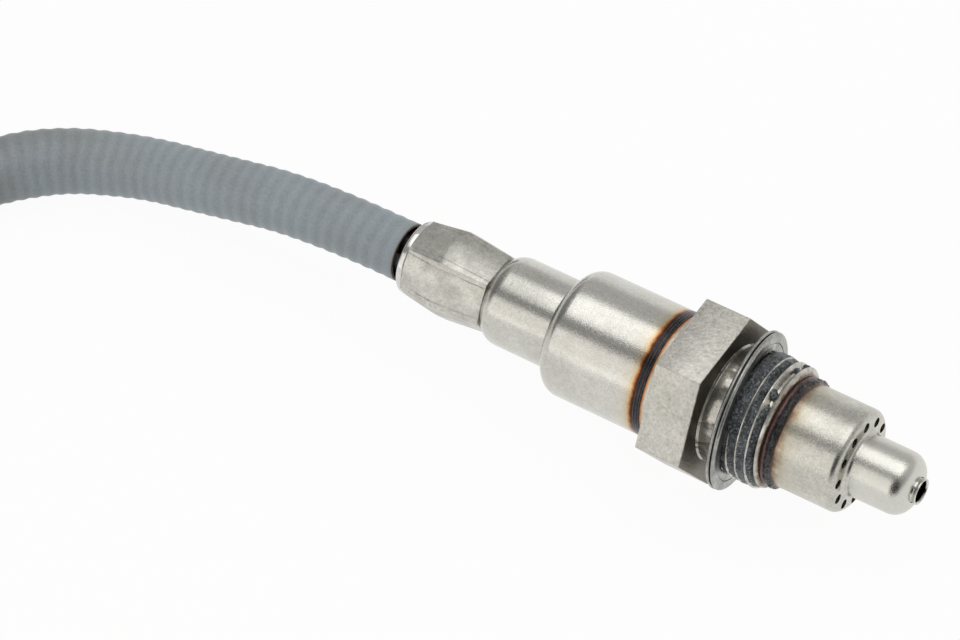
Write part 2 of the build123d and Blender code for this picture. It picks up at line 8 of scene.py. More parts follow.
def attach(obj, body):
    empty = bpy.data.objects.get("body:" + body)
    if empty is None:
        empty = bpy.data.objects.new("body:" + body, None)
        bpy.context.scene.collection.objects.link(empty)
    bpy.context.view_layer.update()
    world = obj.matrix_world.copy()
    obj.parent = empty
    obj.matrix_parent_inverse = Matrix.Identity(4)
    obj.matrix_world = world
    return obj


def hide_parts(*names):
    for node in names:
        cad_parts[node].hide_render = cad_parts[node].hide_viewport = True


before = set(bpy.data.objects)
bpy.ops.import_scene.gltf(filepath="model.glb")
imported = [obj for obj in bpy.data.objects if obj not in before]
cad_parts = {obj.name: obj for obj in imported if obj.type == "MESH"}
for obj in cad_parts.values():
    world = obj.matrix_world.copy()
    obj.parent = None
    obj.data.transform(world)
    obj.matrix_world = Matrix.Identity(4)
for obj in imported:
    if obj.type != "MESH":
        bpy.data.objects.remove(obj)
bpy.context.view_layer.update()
print("frame loaded:", len(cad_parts), "nodes")

# Every piece is modelled in millimetres along the sensor's axis X, and made metres when it is finished.
# Angles round the axis run from the near side (-Y) over the top (+Z), in degrees.

scene = bpy.context.scene
scene.view_settings.view_transform = "Standard"

# The camera stands where the photograph was taken from, turned by degrees about X, Y and Z
cameraLook = {
    "lens": 181.5, "sensorWidth": 36,
    "place": (0.22399, -0.32605, 0.51179), "turn": (38.8451, 4.642, 33.6735),
}
cameraData = bpy.data.cameras.new("photoCamera")
cameraData.lens = cameraLook["lens"]
cameraData.sensor_width = cameraLook["sensorWidth"]
cameraData.clip_start = 0.01
photoCamera = bpy.data.objects.new("photoCamera", cameraData)
scene.collection.objects.link(photoCamera)
cameraTurn = Euler([math.radians(angle) for angle in cameraLook["turn"]])
photoCamera.matrix_world = Matrix.LocRotScale(Vector(cameraLook["place"]), cameraTurn, None)
scene.camera = photoCamera


# Helpers for shader nodes
def makeNode(tree, kind, inputs=None, **settings):
    node = tree.nodes.new(kind)
    for key, value in settings.items():
        setattr(node, key, value)
    for key, value in (inputs or {}).items():
        if isinstance(value, bpy.types.NodeSocket):
            tree.links.new(value, node.inputs[key])
        else:
            node.inputs[key].default_value = value
    return node


def startMaterial(name, metallic=0.0, colour=(0.5, 0.5, 0.5), roughness=0.5):
    material = bpy.data.materials.new(name)
    material.use_nodes = True
    tree = material.node_tree
    shader = tree.nodes["Principled BSDF"]
    shader.inputs["Metallic"].default_value = metallic
    shader.inputs["Base Color"].default_value = (*colour, 1)
    shader.inputs["Roughness"].default_value = roughness
    place = makeNode(tree, "ShaderNodeTexCoord").outputs["Object"]
    millimetres = makeNode(tree, "ShaderNodeMapping", {"Vector": place, "Scale": (1000, 1000, 1000)})
    return material, tree, shader, millimetres.outputs[0]


def mathOf(tree, operation, a, b=0.0, clamp=False):
    return makeNode(tree, "ShaderNodeMath", {0: a, 1: b}, operation=operation, use_clamp=clamp).outputs[0]


def axisPlaces(tree, place):
    # X along the sensor and the distance from its axis
    x, y, z = makeNode(tree, "ShaderNodeSeparateXYZ", {0: place}).outputs
    squares = mathOf(tree, "ADD", mathOf(tree, "MULTIPLY", y, y), mathOf(tree, "MULTIPLY", z, z))
    return x, mathOf(tree, "SQRT", squares)


def scaleColour(tree, colour, shade):
    return makeNode(tree, "ShaderNodeVectorMath", {0: colour, 3: shade}, operation="SCALE").outputs[0]


def noiseOf(tree, vector, scale, detail=2.0, roughness=0.5, stretch=None):
    if stretch:
        vector = makeNode(tree, "ShaderNodeMapping", {"Vector": vector, "Scale": stretch}).outputs[0]
    node = makeNode(tree, "ShaderNodeTexNoise", {"Vector": vector, "Scale": scale, "Detail": detail,
                                                 "Roughness": roughness})
    return node.outputs["Fac"]


def rangeOf(tree, value, low, high, newLow, newHigh):
    return makeNode(tree, "ShaderNodeMapRange", {"Value": value, "From Min": low, "From Max": high,
                                                 "To Min": newLow, "To Max": newHigh}).outputs[0]


def mixOf(tree, factor, a, b):
    def rgba(value):
        return (*value, 1) if isinstance(value, tuple) and len(value) == 3 else value
    return makeNode(tree, "ShaderNodeMix", {0: factor, 6: rgba(a), 7: rgba(b)}, data_type="RGBA").outputs[2]


def rampOf(tree, factor, stops):
    node = makeNode(tree, "ShaderNodeValToRGB", {"Fac": factor})
    elements = node.color_ramp.elements
    while len(elements) < len(stops):
        elements.new(0.5)
    for element, (position, colour) in zip(elements, stops):
        element.position = position
    for element, (position, colour) in zip(elements, stops):
        element.color = colour
    return node


def linkSurface(tree, shader, colour, roughness, layers):
    # the relief has layers of (height, strength, distance in millimetres), the coarsest first
    tree.links.new(colour, shader.inputs["Base Color"])
    tree.links.new(roughness, shader.inputs["Roughness"])
    normal = None
    for height, strength, distance in layers:
        inputs = {"Height": height, "Strength": strength, "Distance": distance / 1000}
        if normal:
            inputs["Normal"] = normal
        normal = makeNode(tree, "ShaderNodeBump", inputs).outputs[0]
    tree.links.new(normal, shader.inputs["Normal"])


# Drawn and machined steel: grain, soft smudges, tiny dark specks and, by a weld, heat tints along the axis,
# with painted shade in some bands and bores
def steelMaterial(name, look):
    material, tree, shader, place = startMaterial(name, metallic=look.get("metallic", 1.0))
    grainScale, grainStrength, grainHeight = look["grain"]
    fine = noiseOf(tree, place, grainScale, 3.0, 0.65)
    coarse = noiseOf(tree, place, grainScale * 0.35, 3.0, 0.6)
    smudge = noiseOf(tree, place, look["smudgeScale"], 3.0, 0.55)
    colour = mixOf(tree, rangeOf(tree, smudge, 0.35, 0.65, 0, 1), look["colour"], look["smudgeColour"])
    speckle = look["speckle"]
    grains = rangeOf(tree, fine, 0.3, 0.7, -speckle, speckle)
    clouds = rangeOf(tree, coarse, 0.3, 0.7, 1 - speckle * 0.6, 1 + speckle * 0.6)
    colour = scaleColour(tree, colour, mathOf(tree, "ADD", grains, clouds))
    if "specks" in look:
        spot = noiseOf(tree, place, 1.7, 2.0, 0.6)
        colour = mixOf(tree, rangeOf(tree, spot, 0.70, 0.76, 0, look["specks"]), colour, (0.16, 0.13, 0.10))
    x, radius = axisPlaces(tree, place)
    if "tintsAndShade" in look:
        wander = noiseOf(tree, place, look["bandScale"], 4.0, 0.6)
        shift = rangeOf(tree, wander, 0.3, 0.7, -look["bandWander"], look["bandWander"])
        first, last = look["tintsAndShade"][0][0], look["tintsAndShade"][-1][0]
        stops = [((stop - first) / (last - first), tint) for stop, tint in look["tintsAndShade"]]
        ramp = rampOf(tree, rangeOf(tree, mathOf(tree, "ADD", x, shift), first, last, 0, 1), stops)
        colour = mixOf(tree, ramp.outputs["Alpha"], colour, ramp.outputs["Color"])
    # painted shade: inside the bore, below the given radius, the colour goes nearly black, as a deep hole looks
    # dark
    if "paintedBoreShade" in look:
        boreShadeMask = rangeOf(tree, radius, look["paintedBoreShade"], look["paintedBoreShade"] + 0.06, 1, 0)
        colour = mixOf(tree, boreShadeMask, colour, (0.012, 0.011, 0.011))
    roughness = mathOf(tree, "ADD", rangeOf(tree, smudge, 0.3, 0.7, *look["roughness"]),
                       rangeOf(tree, fine, 0.3, 0.7, -0.03, 0.03))
    layers = [(fine, grainStrength, grainHeight)]
    if "waves" in look:
        layers.insert(0, (coarse, look["waves"], grainHeight * 1.6))
    for scratch in look.get("scratches", ()):
        turned = makeNode(tree, "ShaderNodeMapping", {"Vector": place, "Rotation": scratch["turn"]})
        lines = noiseOf(tree, turned.outputs[0], scratch["scale"], 2.0, 0.5, scratch["stretch"])
        layers.append((lines, scratch["strength"], scratch["height"]))
    linkSurface(tree, shader, colour, roughness, layers)
    return material


# Plain plastic, rubber, ceramic: faint darker smudges and lighter speckles
def plasticMaterial(name, colour, roughness=(0.35, 0.5)):
    material, tree, shader, place = startMaterial(name)
    speckle = noiseOf(tree, place, 4.0, 3.0, 0.6)
    smudge = noiseOf(tree, place, 0.25, 3.0, 0.55)
    darker = tuple(channel * 0.82 for channel in colour)
    lighter = tuple(min(channel * 1.25 + 0.01, 1) for channel in colour)
    mixed = mixOf(tree, rangeOf(tree, smudge, 0.3, 0.7, 0, 1), colour, darker)
    mixed = mixOf(tree, rangeOf(tree, speckle, 0.35, 0.65, 0, 0.35), mixed, lighter)
    linkSurface(tree, shader, mixed, rangeOf(tree, speckle, 0.3, 0.7, *roughness), [(speckle, 0.3, 0.03)])
    return material


# Helpers for meshes
def polar(vert):
    return math.degrees(math.atan2(vert.co.z, -vert.co.y)), math.hypot(vert.co.y, vert.co.z)


def setPolar(vert, angle, radius):
    turn = math.radians(angle)
    vert.co.y, vert.co.z = -radius * math.cos(turn), radius * math.sin(turn)


def setRadius(vert, radius):
    now = math.hypot(vert.co.y, vert.co.z)
    if now > 1e-6:
        vert.co.y *= radius / now
        vert.co.z *= radius / now


def turnMesh(bm, matrix):
    bmesh.ops.rotate(bm, verts=bm.verts, cent=(0, 0, 0), matrix=matrix)


def turnAbout(angle):
    # turns the near side to an angle round the axis
    return Matrix.Rotation(math.radians(-angle), 3, "X")


def noiseRound(angle, spread, depth):
    # noise that runs round the axis without a seam
    turn = math.radians(angle)
    return noise.noise(Vector((spread * math.cos(turn), spread * math.sin(turn), depth)))


def along(x, rows):
    # straight interpolation in a table of (x, value) with x rising
    if x <= rows[0][0]:
        return rows[0][1]
    for (x0, v0), (x1, v1) in zip(rows, rows[1:]):
        if x <= x1:
            return v0 + (v1 - v0) * (x - x0) / (x1 - x0)
    return rows[-1][1]


def smoothStep(value, low, high):
    t = min(max((value - low) / (high - low), 0), 1)
    return t * t * (3 - 2 * t)


def traceOutline(bm, outline, longest, roundSteps, closed, fineAbove):
    # an outline of (x, radius) or (x, radius, rounding), drawn in the plane over the axis,
    # its edges no longer than longest where they are above a radius
    corners = [bm.verts.new((point[0], 0, point[1])) for point in outline]
    for start, end in zip(corners, corners[1:] + (corners[:1] if closed else [])):
        bm.edges.new((start, end))
    count = len(outline)
    for index, (corner, point) in enumerate(zip(corners, outline)):
        if len(point) < 3:
            continue
        here = Vector((point[0], point[1]))
        before = Vector(outline[index - 1][:2]) - here
        after = Vector(outline[(index + 1) % count][:2]) - here
        turn = math.pi - before.angle(after)
        bmesh.ops.bevel(bm, geom=[corner], offset=point[2] * math.tan(turn / 2), offset_type="OFFSET",
                        segments=roundSteps, profile=0.5, affect="VERTICES", material=-1)
    if longest:
        for edge in bm.edges[:]:
            cuts = math.ceil(edge.calc_length() / longest) - 1
            if cuts > 0 and min(vert.co.z for vert in edge.verts) > fineAbove:
                bmesh.ops.subdivide_edges(bm, edges=[edge], cuts=cuts)


def lathe(outline, steps, longest=None, roundSteps=8, closed=True, fineAbove=0):
    bm = bmesh.new()
    traceOutline(bm, outline, longest, roundSteps, closed, fineAbove)
    bmesh.ops.spin(bm, geom=bm.verts[:] + bm.edges[:], cent=(0, 0, 0), axis=(1, 0, 0), dvec=(0, 0, 0),
                   angle=math.tau, steps=steps, use_merge=True, use_duplicate=False)
    bmesh.ops.remove_doubles(bm, verts=bm.verts, dist=1e-4)
    bmesh.ops.recalc_face_normals(bm, faces=bm.faces)
    return bm


def addShell(bm, other):
    # the other shell goes into the same piece
    mesh = bpy.data.meshes.new("shell")
    other.to_mesh(mesh)
    other.free()
    bm.from_mesh(mesh)
    bpy.data.meshes.remove(mesh)


def linkMesh(name, bm):
    mesh = bpy.data.meshes.new(name)
    bm.to_mesh(mesh)
    bm.free()
    piece = bpy.data.objects.new(name, mesh)
    scene.collection.objects.link(piece)
    return piece


def makeMetres(bm):
    bmesh.ops.scale(bm, vec=(0.001, 0.001, 0.001), verts=bm.verts)


plainSharpAngle = 32


def finishPiece(name, bm, material, replaced=(), sharpAngle=plainSharpAngle):
    makeMetres(bm)
    piece = linkMesh(name, bm)
    piece.data.shade_smooth()
    piece.data.set_sharp_from_angle(angle=math.radians(sharpAngle))
    piece.data.materials.append(material)
    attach(piece, "root")
    if replaced:
        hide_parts(*replaced)
    print("piece", name, len(piece.data.polygons), "faces")
    return piece


# The ribbed conduit: a free cord from behind the sleeve to the boot of the plug
conduitLook = {
    "wall": 0.48, "mouthDepth": 8.0, "plainEnd": 0.3, "ringPoints": 48,
    "ribPitch": 2.1, "ribDepth": 0.13, "ringsPerRib": 8, "ribsRise": (0.4, 3.5),
    # It is a little flattened and wider where it bends down to the table. The radii but the last, and the
    # route's third to ninth points, were fitted to the photograph by a search and not chosen by hand.
    "radius": [(0, 4.30), (20, 4.40), (45, 4.58), (62, 4.90), (75, 4.80), (95, 4.26), (400, 4.25)],
    "route": [(-0.055, 0, 0), (-0.071, 0, 0), (-0.0884, -0.0015, -0.0032), (-0.1006, -0.0022, -0.0057),
              (-0.1135, -0.0077, -0.0059), (-0.1231, -0.0191, -0.0059), (-0.1397, -0.0262, -0.00715),
              (-0.1627, -0.0252, -0.00715), (-0.1924, -0.0205, -0.00715), (-0.2135, -0.007, -0.00715),
              (-0.2216, 0.0196, -0.00715), (-0.2123, 0.0481, -0.00715), (-0.188, 0.065, -0.00715),
              (-0.160, 0.067, -0.0034), (-0.140, 0.067, -0.0034)],
}


def splineLine(points):
    curve = bpy.data.curves.new("routeGuide", "CURVE")
    curve.dimensions = "3D"
    curve.resolution_u = 60
    spline = curve.splines.new("NURBS")
    spline.points.add(len(points) - 1)
    for point, place in zip(spline.points, points):
        point.co = (*place, 1)
    spline.order_u = 3
    spline.use_endpoint_u = True
    guide = bpy.data.objects.new("routeGuide", curve)
    scene.collection.objects.link(guide)
    mesh = bpy.data.meshes.new_from_object(guide)
    line = [vert.co.copy() for vert in mesh.vertices]
    bpy.data.objects.remove(guide)
    bpy.data.meshes.remove(mesh)
    return line


def lengthsAlong(line):
    lengths = [0.0]
    for start, end in zip(line, line[1:]):
        lengths.append(lengths[-1] + (end - start).length)
    return lengths


def placesAlong(line, distances):
    # a matrix at each distance along the line, its Z along the line and its twist carried from place to place
    lengths = lengthsAlong(line)
    places = []
    side = Vector((0, 0, 1))
    for distance in distances:
        distance = min(max(distance, 0), lengths[-1] - 1e-6)
        index = next(i for i in range(1, len(lengths)) if lengths[i] >= distance)
        share = (distance - lengths[index - 1]) / (lengths[index] - lengths[index - 1])
        point = line[index - 1].lerp(line[index], share)
        before, after = line[max(index - 2, 0)], line[min(index + 1, len(line) - 1)]
        forward = (after - before).normalized()
        side = (side - forward * side.dot(forward)).normalized()
        across = forward.cross(side)
        places.append(Matrix((
            (across.x, side.x, forward.x, point.x),
            (across.y, side.y, forward.y, point.y),
            (across.z, side.z, forward.z, point.z),
            (0, 0, 0, 1),
        )))
    return places


def conduitPiece(look, material):
    line = [point * 1000 for point in splineLine(look["route"])]
    total = lengthsAlong(line)[-1]
    outer, pitch = look["radius"][0][1], look["ribPitch"]
    bore = outer - look["wall"]
    outline = [(look["mouthDepth"], 0), (look["mouthDepth"], bore), (4.0, bore), (1.0, bore), (0.12, bore),
               (0.0, bore + 0.06), (0.0, outer - 0.12), (0.08, outer - 0.02)]
    distance = pitch / look["ringsPerRib"]
    while distance < total - look["plainEnd"]:
        valley = 0.5 + 0.5 * math.cos(math.tau * distance / pitch)
        depth = look["ribDepth"] * smoothStep(distance, *look["ribsRise"])
        outline.append((distance, along(distance, look["radius"]) - 0.02 - depth * valley))
        distance += pitch / look["ringsPerRib"]
    outline += [(total, outer - 0.15), (total, 0)]
    # turned straight along X first, then every ring is set on its place along the route
    bm = lathe(outline, steps=look["ringPoints"], closed=False)
    ribTurn = bm.verts.layers.float.new("ribTurn")
    rings = {}
    for vert in bm.verts:
        vert[ribTurn] = vert.co.x / pitch
        rings.setdefault(round(vert.co.x, 3), []).append(vert)
    distances = sorted(rings)
    for distance, place in zip(distances, placesAlong(line, distances)):
        for vert in rings[distance]:
            vert.co = place @ Vector((vert.co.y, vert.co.z, 0))
    # the bent shell is turned the right way by its volume
    if bm.calc_volume(signed=True) < 0:
        bmesh.ops.reverse_faces(bm, faces=bm.faces)
    piece = finishPiece("ribbedConduit", bm, material, ["conduit"], sharpAngle=60)
    return piece, [point / 1000 for point in line], total / 1000


def conduitMaterial(name):
    # grey sleeving with a dusty, warmer mottle, painted shade in its rib valleys and in its mouth, and a brown
    # cut edge at its mouth
    material, tree, shader, place = startMaterial(name)
    x, radius = axisPlaces(tree, place)
    dust = noiseOf(tree, place, 0.11, 4.0, 0.6)
    weave = noiseOf(tree, place, 2.4, 3.0, 0.65)
    fine = noiseOf(tree, place, 5.0, 2.0, 0.6)
    colour = mixOf(tree, rangeOf(tree, dust, 0.38, 0.66, 0, 1), (0.322, 0.368, 0.397), (0.306, 0.336, 0.348))
    # it is darker further along, from about x = -104 mm, in patches after the dust noise
    leftDarkening = mathOf(tree, "MULTIPLY", rangeOf(tree, x, -104, -119, 0, 0.9),
                  rangeOf(tree, dust, 0.3, 0.6, 0.4, 1))
    colour = mixOf(tree, leftDarkening, colour, (0.213, 0.219, 0.212))
    shade = mathOf(tree, "ADD", rangeOf(tree, weave, 0.3, 0.7, 0.91, 1.09),
                   rangeOf(tree, fine, 0.3, 0.7, -0.07, 0.07))
    # painted shade: the rib valleys are darker and the crests lighter, as light falls on the ribs
    ribTurn = makeNode(tree, "ShaderNodeAttribute", attribute_name="ribTurn").outputs["Fac"]
    valley = mathOf(tree, "COSINE", mathOf(tree, "MULTIPLY", ribTurn, math.tau))
    shade = mathOf(tree, "SUBTRACT", shade, mathOf(tree, "MULTIPLY", valley, 0.06))
    colour = scaleColour(tree, colour, shade)
    # the cut edge at the mouth, and painted shade on the bore behind it
    cut = mathOf(tree, "ADD", x, rangeOf(tree, fine, 0.3, 0.7, -0.12, 0.12))
    brown = mixOf(tree, rangeOf(tree, fine, 0.4, 0.6, 0, 1), (0.07, 0.042, 0.028), (0.26, 0.20, 0.14))
    colour = mixOf(tree, rangeOf(tree, cut, -55.16, -55.04, 0, 1), colour, brown)
    inside = mathOf(tree, "MULTIPLY", rangeOf(tree, radius, 3.86, 3.95, 1, 0),
                    rangeOf(tree, x, -62, -61, 0, 1))
    colour = mixOf(tree, inside, colour, (0.035, 0.024, 0.018))
    shader.inputs["Specular IOR Level"].default_value = 0.4
    roughness = rangeOf(tree, weave, 0.3, 0.7, 0.36, 0.52)
    linkSurface(tree, shader, colour, roughness, [(weave, 0.4, 0.08), (fine, 0.3, 0.04)])
    return material


ribbedConduit, conduitLine, conduitLength = conduitPiece(conduitLook, conduitMaterial("conduitGrey"))
print("conduit", round(conduitLength * 1000, 1), "mm long")


# The protective sleeve: barrel, middle and crimp.
# Six half-rounded jaw marks leave a raised land between neighbours.
sleeveLook = {
    "frontX": -11.5, "barrelRadius": 9.15, "barrelRearX": -28.45, "barrelRound": 2.4,
    "middleRadius": 6.46, "middleRearX": -40.3, "middleRound": 2.9, "rootRound": 0.45, "wall": 0.5,
    "crimpFrontX": -39.7, "crimpRearX": -52.5, "crimpTop": 6.3, "crimpInside": 5.6, "steps": 432,
    "jaws": [(-52.5, 5.42), (-47.5, 6.10), (-47.0, 6.14), (-46.4, 6.10), (-39.7, 5.40)],
    "jawCurve": 0.5, "bellyBow": 0.5,
    "landAngle": 62.5, "landHalfWidth": [(-52.5, 3.2), (-47.0, 6.8), (-39.7, 5.25)], "gridHalfWidth": 5.0,
    "landRise": [(-52.5, 0.05), (-48.0, 0.06), (-46.5, 0.09), (-39.7, 0.11)],
    "stepWidth": 1.6, "stepDepth": 0.025,
}


def crimpVert(vert, look):
    # the grid's lines are drawn to the land's edges, so that its steps stay crisp
    angle, radius = polar(vert)
    offset = (angle - look["landAngle"] + 30) % 60 - 30
    side, offset = math.copysign(1, offset), abs(offset)
    middle = angle - side * offset
    x = vert.co.x
    half, grid = along(x, look["landHalfWidth"]), look["gridHalfWidth"]
    onLand = offset < grid + 0.05
    turned = offset * half / grid if onLand else half + (offset - grid) * (30 - half) / (30 - grid)
    jaw = along(x + look["bellyBow"] * (turned / 30 - 0.6), look["jaws"])
    height = jaw * (1 + look["jawCurve"] * (1 / math.cos(math.radians(30 - turned)) - 1))
    if onLand:
        height += along(x, look["landRise"]) * (1 - 0.15 * (offset / grid) ** 2)
    elif turned < half + look["stepWidth"]:
        height -= look["stepDepth"]
    setPolar(vert, middle + side * turned, height + radius - look["crimpTop"])


def sleevePiece(look, material):
    barrel, middle = look["barrelRadius"], look["middleRadius"]
    body = lathe([
        (look["frontX"], barrel - 0.4),
        (look["frontX"], barrel, 0.08),
        (look["barrelRearX"], barrel, look["barrelRound"]),
        (look["barrelRearX"], middle, look["rootRound"]),
        (look["middleRearX"], middle, look["middleRound"]),
        (look["middleRearX"], middle - look["middleRound"] - 0.05),
        (look["middleRearX"] + 2, middle - look["middleRound"]),
        (look["middleRearX"] + 3, middle - look["wall"]),
        (look["barrelRearX"] + look["wall"], middle - look["wall"]),
        (look["barrelRearX"] + 2.5, barrel - look["wall"]),
        (look["frontX"], barrel - look["wall"] - 0.02),
    ], steps=192, longest=1.2, roundSteps=14, fineAbove=8.8)
    finishPiece("steppedSleeve", body, material, ["protective_sleeve"])


def crimpPiece(look, material):
    front, rear, top, inside = look["crimpFrontX"], look["crimpRearX"], look["crimpTop"], look["crimpInside"]
    crimp = lathe([
        (front + 1.2, 4.6), (front + 0.7, 5.0), (front + 0.1, 5.1), (front, top, 0.06),
        (rear, top), (rear - 0.1, 5.1), (rear, 4.6),
    ], steps=look["steps"], longest=0.34, fineAbove=inside)
    turnMesh(crimp, turnAbout(look["landAngle"]))
    for vert in crimp.verts:
        if polar(vert)[1] > inside:
            crimpVert(vert, look)
    finishPiece("crimpedEnd", crimp, material, ["protective_sleeve"])


sleeveSteel = steelMaterial("sleeveSteel", {
    "colour": (0.60, 0.588, 0.542), "smudgeColour": (0.54, 0.528, 0.482), "smudgeScale": 0.16,
    "roughness": (0.17, 0.24), "grain": (4.2, 0.5, 0.032),
    "speckle": 0.12, "specks": 0.5, "bandWander": 0.14, "bandScale": 0.7,
    "tintsAndShade": [(-16.5, (0.62, 0.59, 0.52, 0.0)), (-14.3, (0.60, 0.52, 0.37, 0.3)),
              (-13.5, (0.56, 0.40, 0.19, 0.7)), (-13.15, (0.40, 0.15, 0.03, 0.95)),
              (-12.9, (0.10, 0.03, 0.015, 1.0)), (-12.65, (0.03, 0.03, 0.035, 1.0)),
              (-11.5, (0.03, 0.03, 0.035, 1.0))],
})
sleevePiece(sleeveLook, sleeveSteel)
crimpSteel = steelMaterial("crimpSteel", {
    "colour": (0.555, 0.543, 0.495), "smudgeColour": (0.44, 0.43, 0.39), "smudgeScale": 0.35,
    "roughness": (0.28, 0.38), "grain": (3.6, 0.7, 0.04),
    "speckle": 0.17, "specks": 0.6,
    "scratches": [
        {"turn": (0, 0, 0), "scale": 1.0, "stretch": (0.25, 3.0, 3.0), "strength": 0.2, "height": 0.04},
    ],
})
crimpPiece(sleeveLook, crimpSteel)


# The sleeve's end is rolled into a bright lip round the wires
rimLook = {"frontX": -52.2, "rearX": -53.7, "radius": 5.37, "mouthRadius": 4.6, "round": 0.42}


def rimPiece(look, material):
    front, rear, radius, mouth = look["frontX"], look["rearX"], look["radius"], look["mouthRadius"]
    bm = lathe([
        (front, mouth), (front, radius - 0.4), (front - 0.42, radius - 0.12, 0.1), (front - 0.55, radius, 0.15),
        (rear, radius, look["round"]), (rear, mouth, 0.3), (front, mouth - 0.02),
    ], steps=192, roundSteps=10)
    finishPiece("rolledLip", bm, material, ["protective_sleeve"])


lipSteel = steelMaterial("lipSteel", {
    "colour": (0.72, 0.715, 0.69), "smudgeColour": (0.60, 0.59, 0.56), "smudgeScale": 0.5,
    "roughness": (0.10, 0.2), "grain": (3.0, 0.15, 0.02), "speckle": 0.04,
})
rimPiece(rimLook, lipSteel)


# The weld between sleeve and housing: a burnt black band with three low ridges of (x, rise, width)
rearWeldLook = {
    "frontX": -11.42, "rearX": -12.72, "radius": 9.12,
    "ridges": [(-12.5, 0.09, 0.10), (-12.1, 0.07, 0.13), (-11.68, 0.10, 0.10)],
}


def rearWeldPiece(look, material):
    front, rear, radius = look["frontX"], look["rearX"], look["radius"]
    bm = lathe([(front, radius - 0.3), (front, radius), (rear, radius), (rear, radius - 0.3)],
               steps=240, longest=0.05)
    for vert in bm.verts:
        angle, now = polar(vert)
        if now < radius - 0.01:
            continue
        height = 0.0
        for index, (x, rise, width) in enumerate(look["ridges"]):
            shift = 0.07 * noiseRound(angle, 4, 9 * index)
            height += rise * math.exp(-((vert.co.x - x - shift) / width) ** 2)
        ripple = 0.025 * noiseRound(angle, 27, vert.co.x * 3)
        edge = smoothStep(vert.co.x, rear, rear + 0.08) * (1 - smoothStep(vert.co.x, front - 0.08, front))
        setRadius(vert, radius - 0.02 + (height + ripple) * edge)
    finishPiece("rearWeld", bm, material)


burntWeld = steelMaterial("burntWeld", {
    "colour": (0.036, 0.034, 0.034), "smudgeColour": (0.10, 0.078, 0.064), "smudgeScale": 1.2,
    "metallic": 0.7, "roughness": (0.22, 0.40), "grain": (4.0, 0.5, 0.04),
    "speckle": 0.2,
})
rearWeldPiece(rearWeldLook, burntWeld)


# The housing: hexagon, collar behind it, neck in front of it and the cup inside the sleeve
housingLook = {
    "acrossFlats": 22.0, "hexFrontX": -3.0, "hexRearX": -9.95, "edgeRound": 0.14,
    "collarRadius": 9.12, "neckRadius": 8.36, "undercutRadius": 8.1,
}


def housingPiece(look, material):
    front, rear, collar = look["hexFrontX"], look["hexRearX"], look["collarRadius"]
    corner = look["acrossFlats"] / 2 / math.cos(math.radians(30))
    bm = bmesh.new()
    bmesh.ops.create_cone(bm, cap_ends=True, segments=6, radius1=corner, radius2=corner, depth=front - rear)
    turnMesh(bm, Matrix.Rotation(math.radians(90), 3, "Y"))
    # a corner points at the near side
    turned = min((polar(vert)[0] % 60 for vert in bm.verts), key=abs)
    turnMesh(bm, Matrix.Rotation(math.radians(turned), 3, "X"))
    bmesh.ops.translate(bm, verts=bm.verts, vec=((front + rear) / 2, 0, 0))
    bmesh.ops.bevel(bm, geom=bm.edges[:], offset=look["edgeRound"], offset_type="OFFSET", segments=3,
                    profile=0.5, affect="EDGES", material=-1)
    core = lathe([
        (rear + 0.5, 5.6), (rear + 0.5, collar), (-11.6, collar), (-11.6, 8.5), (-16, 8.5), (-16, 7.2),
        (-20.3, 7.2, 0.6), (-20.3, 5.0), (-19.6, 5.0), (-19.6, 5.6),
    ], steps=192)
    addShell(bm, core)
    finishPiece("hexBody", bm, material, ["hex_housing"])


hexSteel = steelMaterial("hexSteel", {
    "colour": (0.57, 0.552, 0.503), "smudgeColour": (0.535, 0.52, 0.47), "smudgeScale": 0.2,
    "roughness": (0.38, 0.48), "grain": (2.3, 0.8, 0.07),
    "speckle": 0.19, "specks": 0.7, "waves": 0.3,
    "scratches": [
        {"turn": (0, 0.5, 0.9), "scale": 1.2, "stretch": (0.3, 3, 1), "strength": 0.4, "height": 0.07},
        {"turn": (0.3, -0.4, -0.5), "scale": 1.0, "stretch": (0.25, 3.5, 1), "strength": 0.3, "height": 0.06},
    ],
    "bandWander": 0.05, "bandScale": 1.0,
    # the stops by the weld are heat tints; the stops from -3.14 on are a painted dark reflection, darkening the
    # hexagon's front face where it mirrors the gasket's shaded back
    "tintsAndShade": [(-11.6, (0.10, 0.03, 0.015, 1.0)), (-11.42, (0.38, 0.12, 0.03, 0.95)),
              (-11.27, (0.48, 0.25, 0.08, 0.8)), (-11.05, (0.56, 0.44, 0.28, 0.3)),
              (-10.6, (0.6, 0.6, 0.6, 0.0)), (-3.14, (0.3, 0.26, 0.2, 0.0)),
              (-3.04, (0.155, 0.135, 0.105, 0.9)), (-2.9, (0.155, 0.135, 0.105, 0.9))],
})
housingPiece(housingLook, hexSteel)


def neckPiece(look, material):
    neck, front = look["neckRadius"], look["hexFrontX"]
    bm = lathe([
        (front - 0.5, 4.3), (front - 0.5, neck + 0.2), (front + 0.04, neck + 0.2, 0.05),
        (front + 0.3, neck - 0.02, 0.1), (-0.6, neck, 0.2), (0.9, neck, 0.15),
        (1.2, look["undercutRadius"], 0.15), (2.4, 8.05), (6.4, 7.8), (6.9, 7.4), (6.9, 6.4),
        (10.0, 6.4, 0.2), (10.0, 4.3),
    ], steps=192, longest=0.8)
    finishPiece("polishedNeck", bm, material, ["hex_housing"])


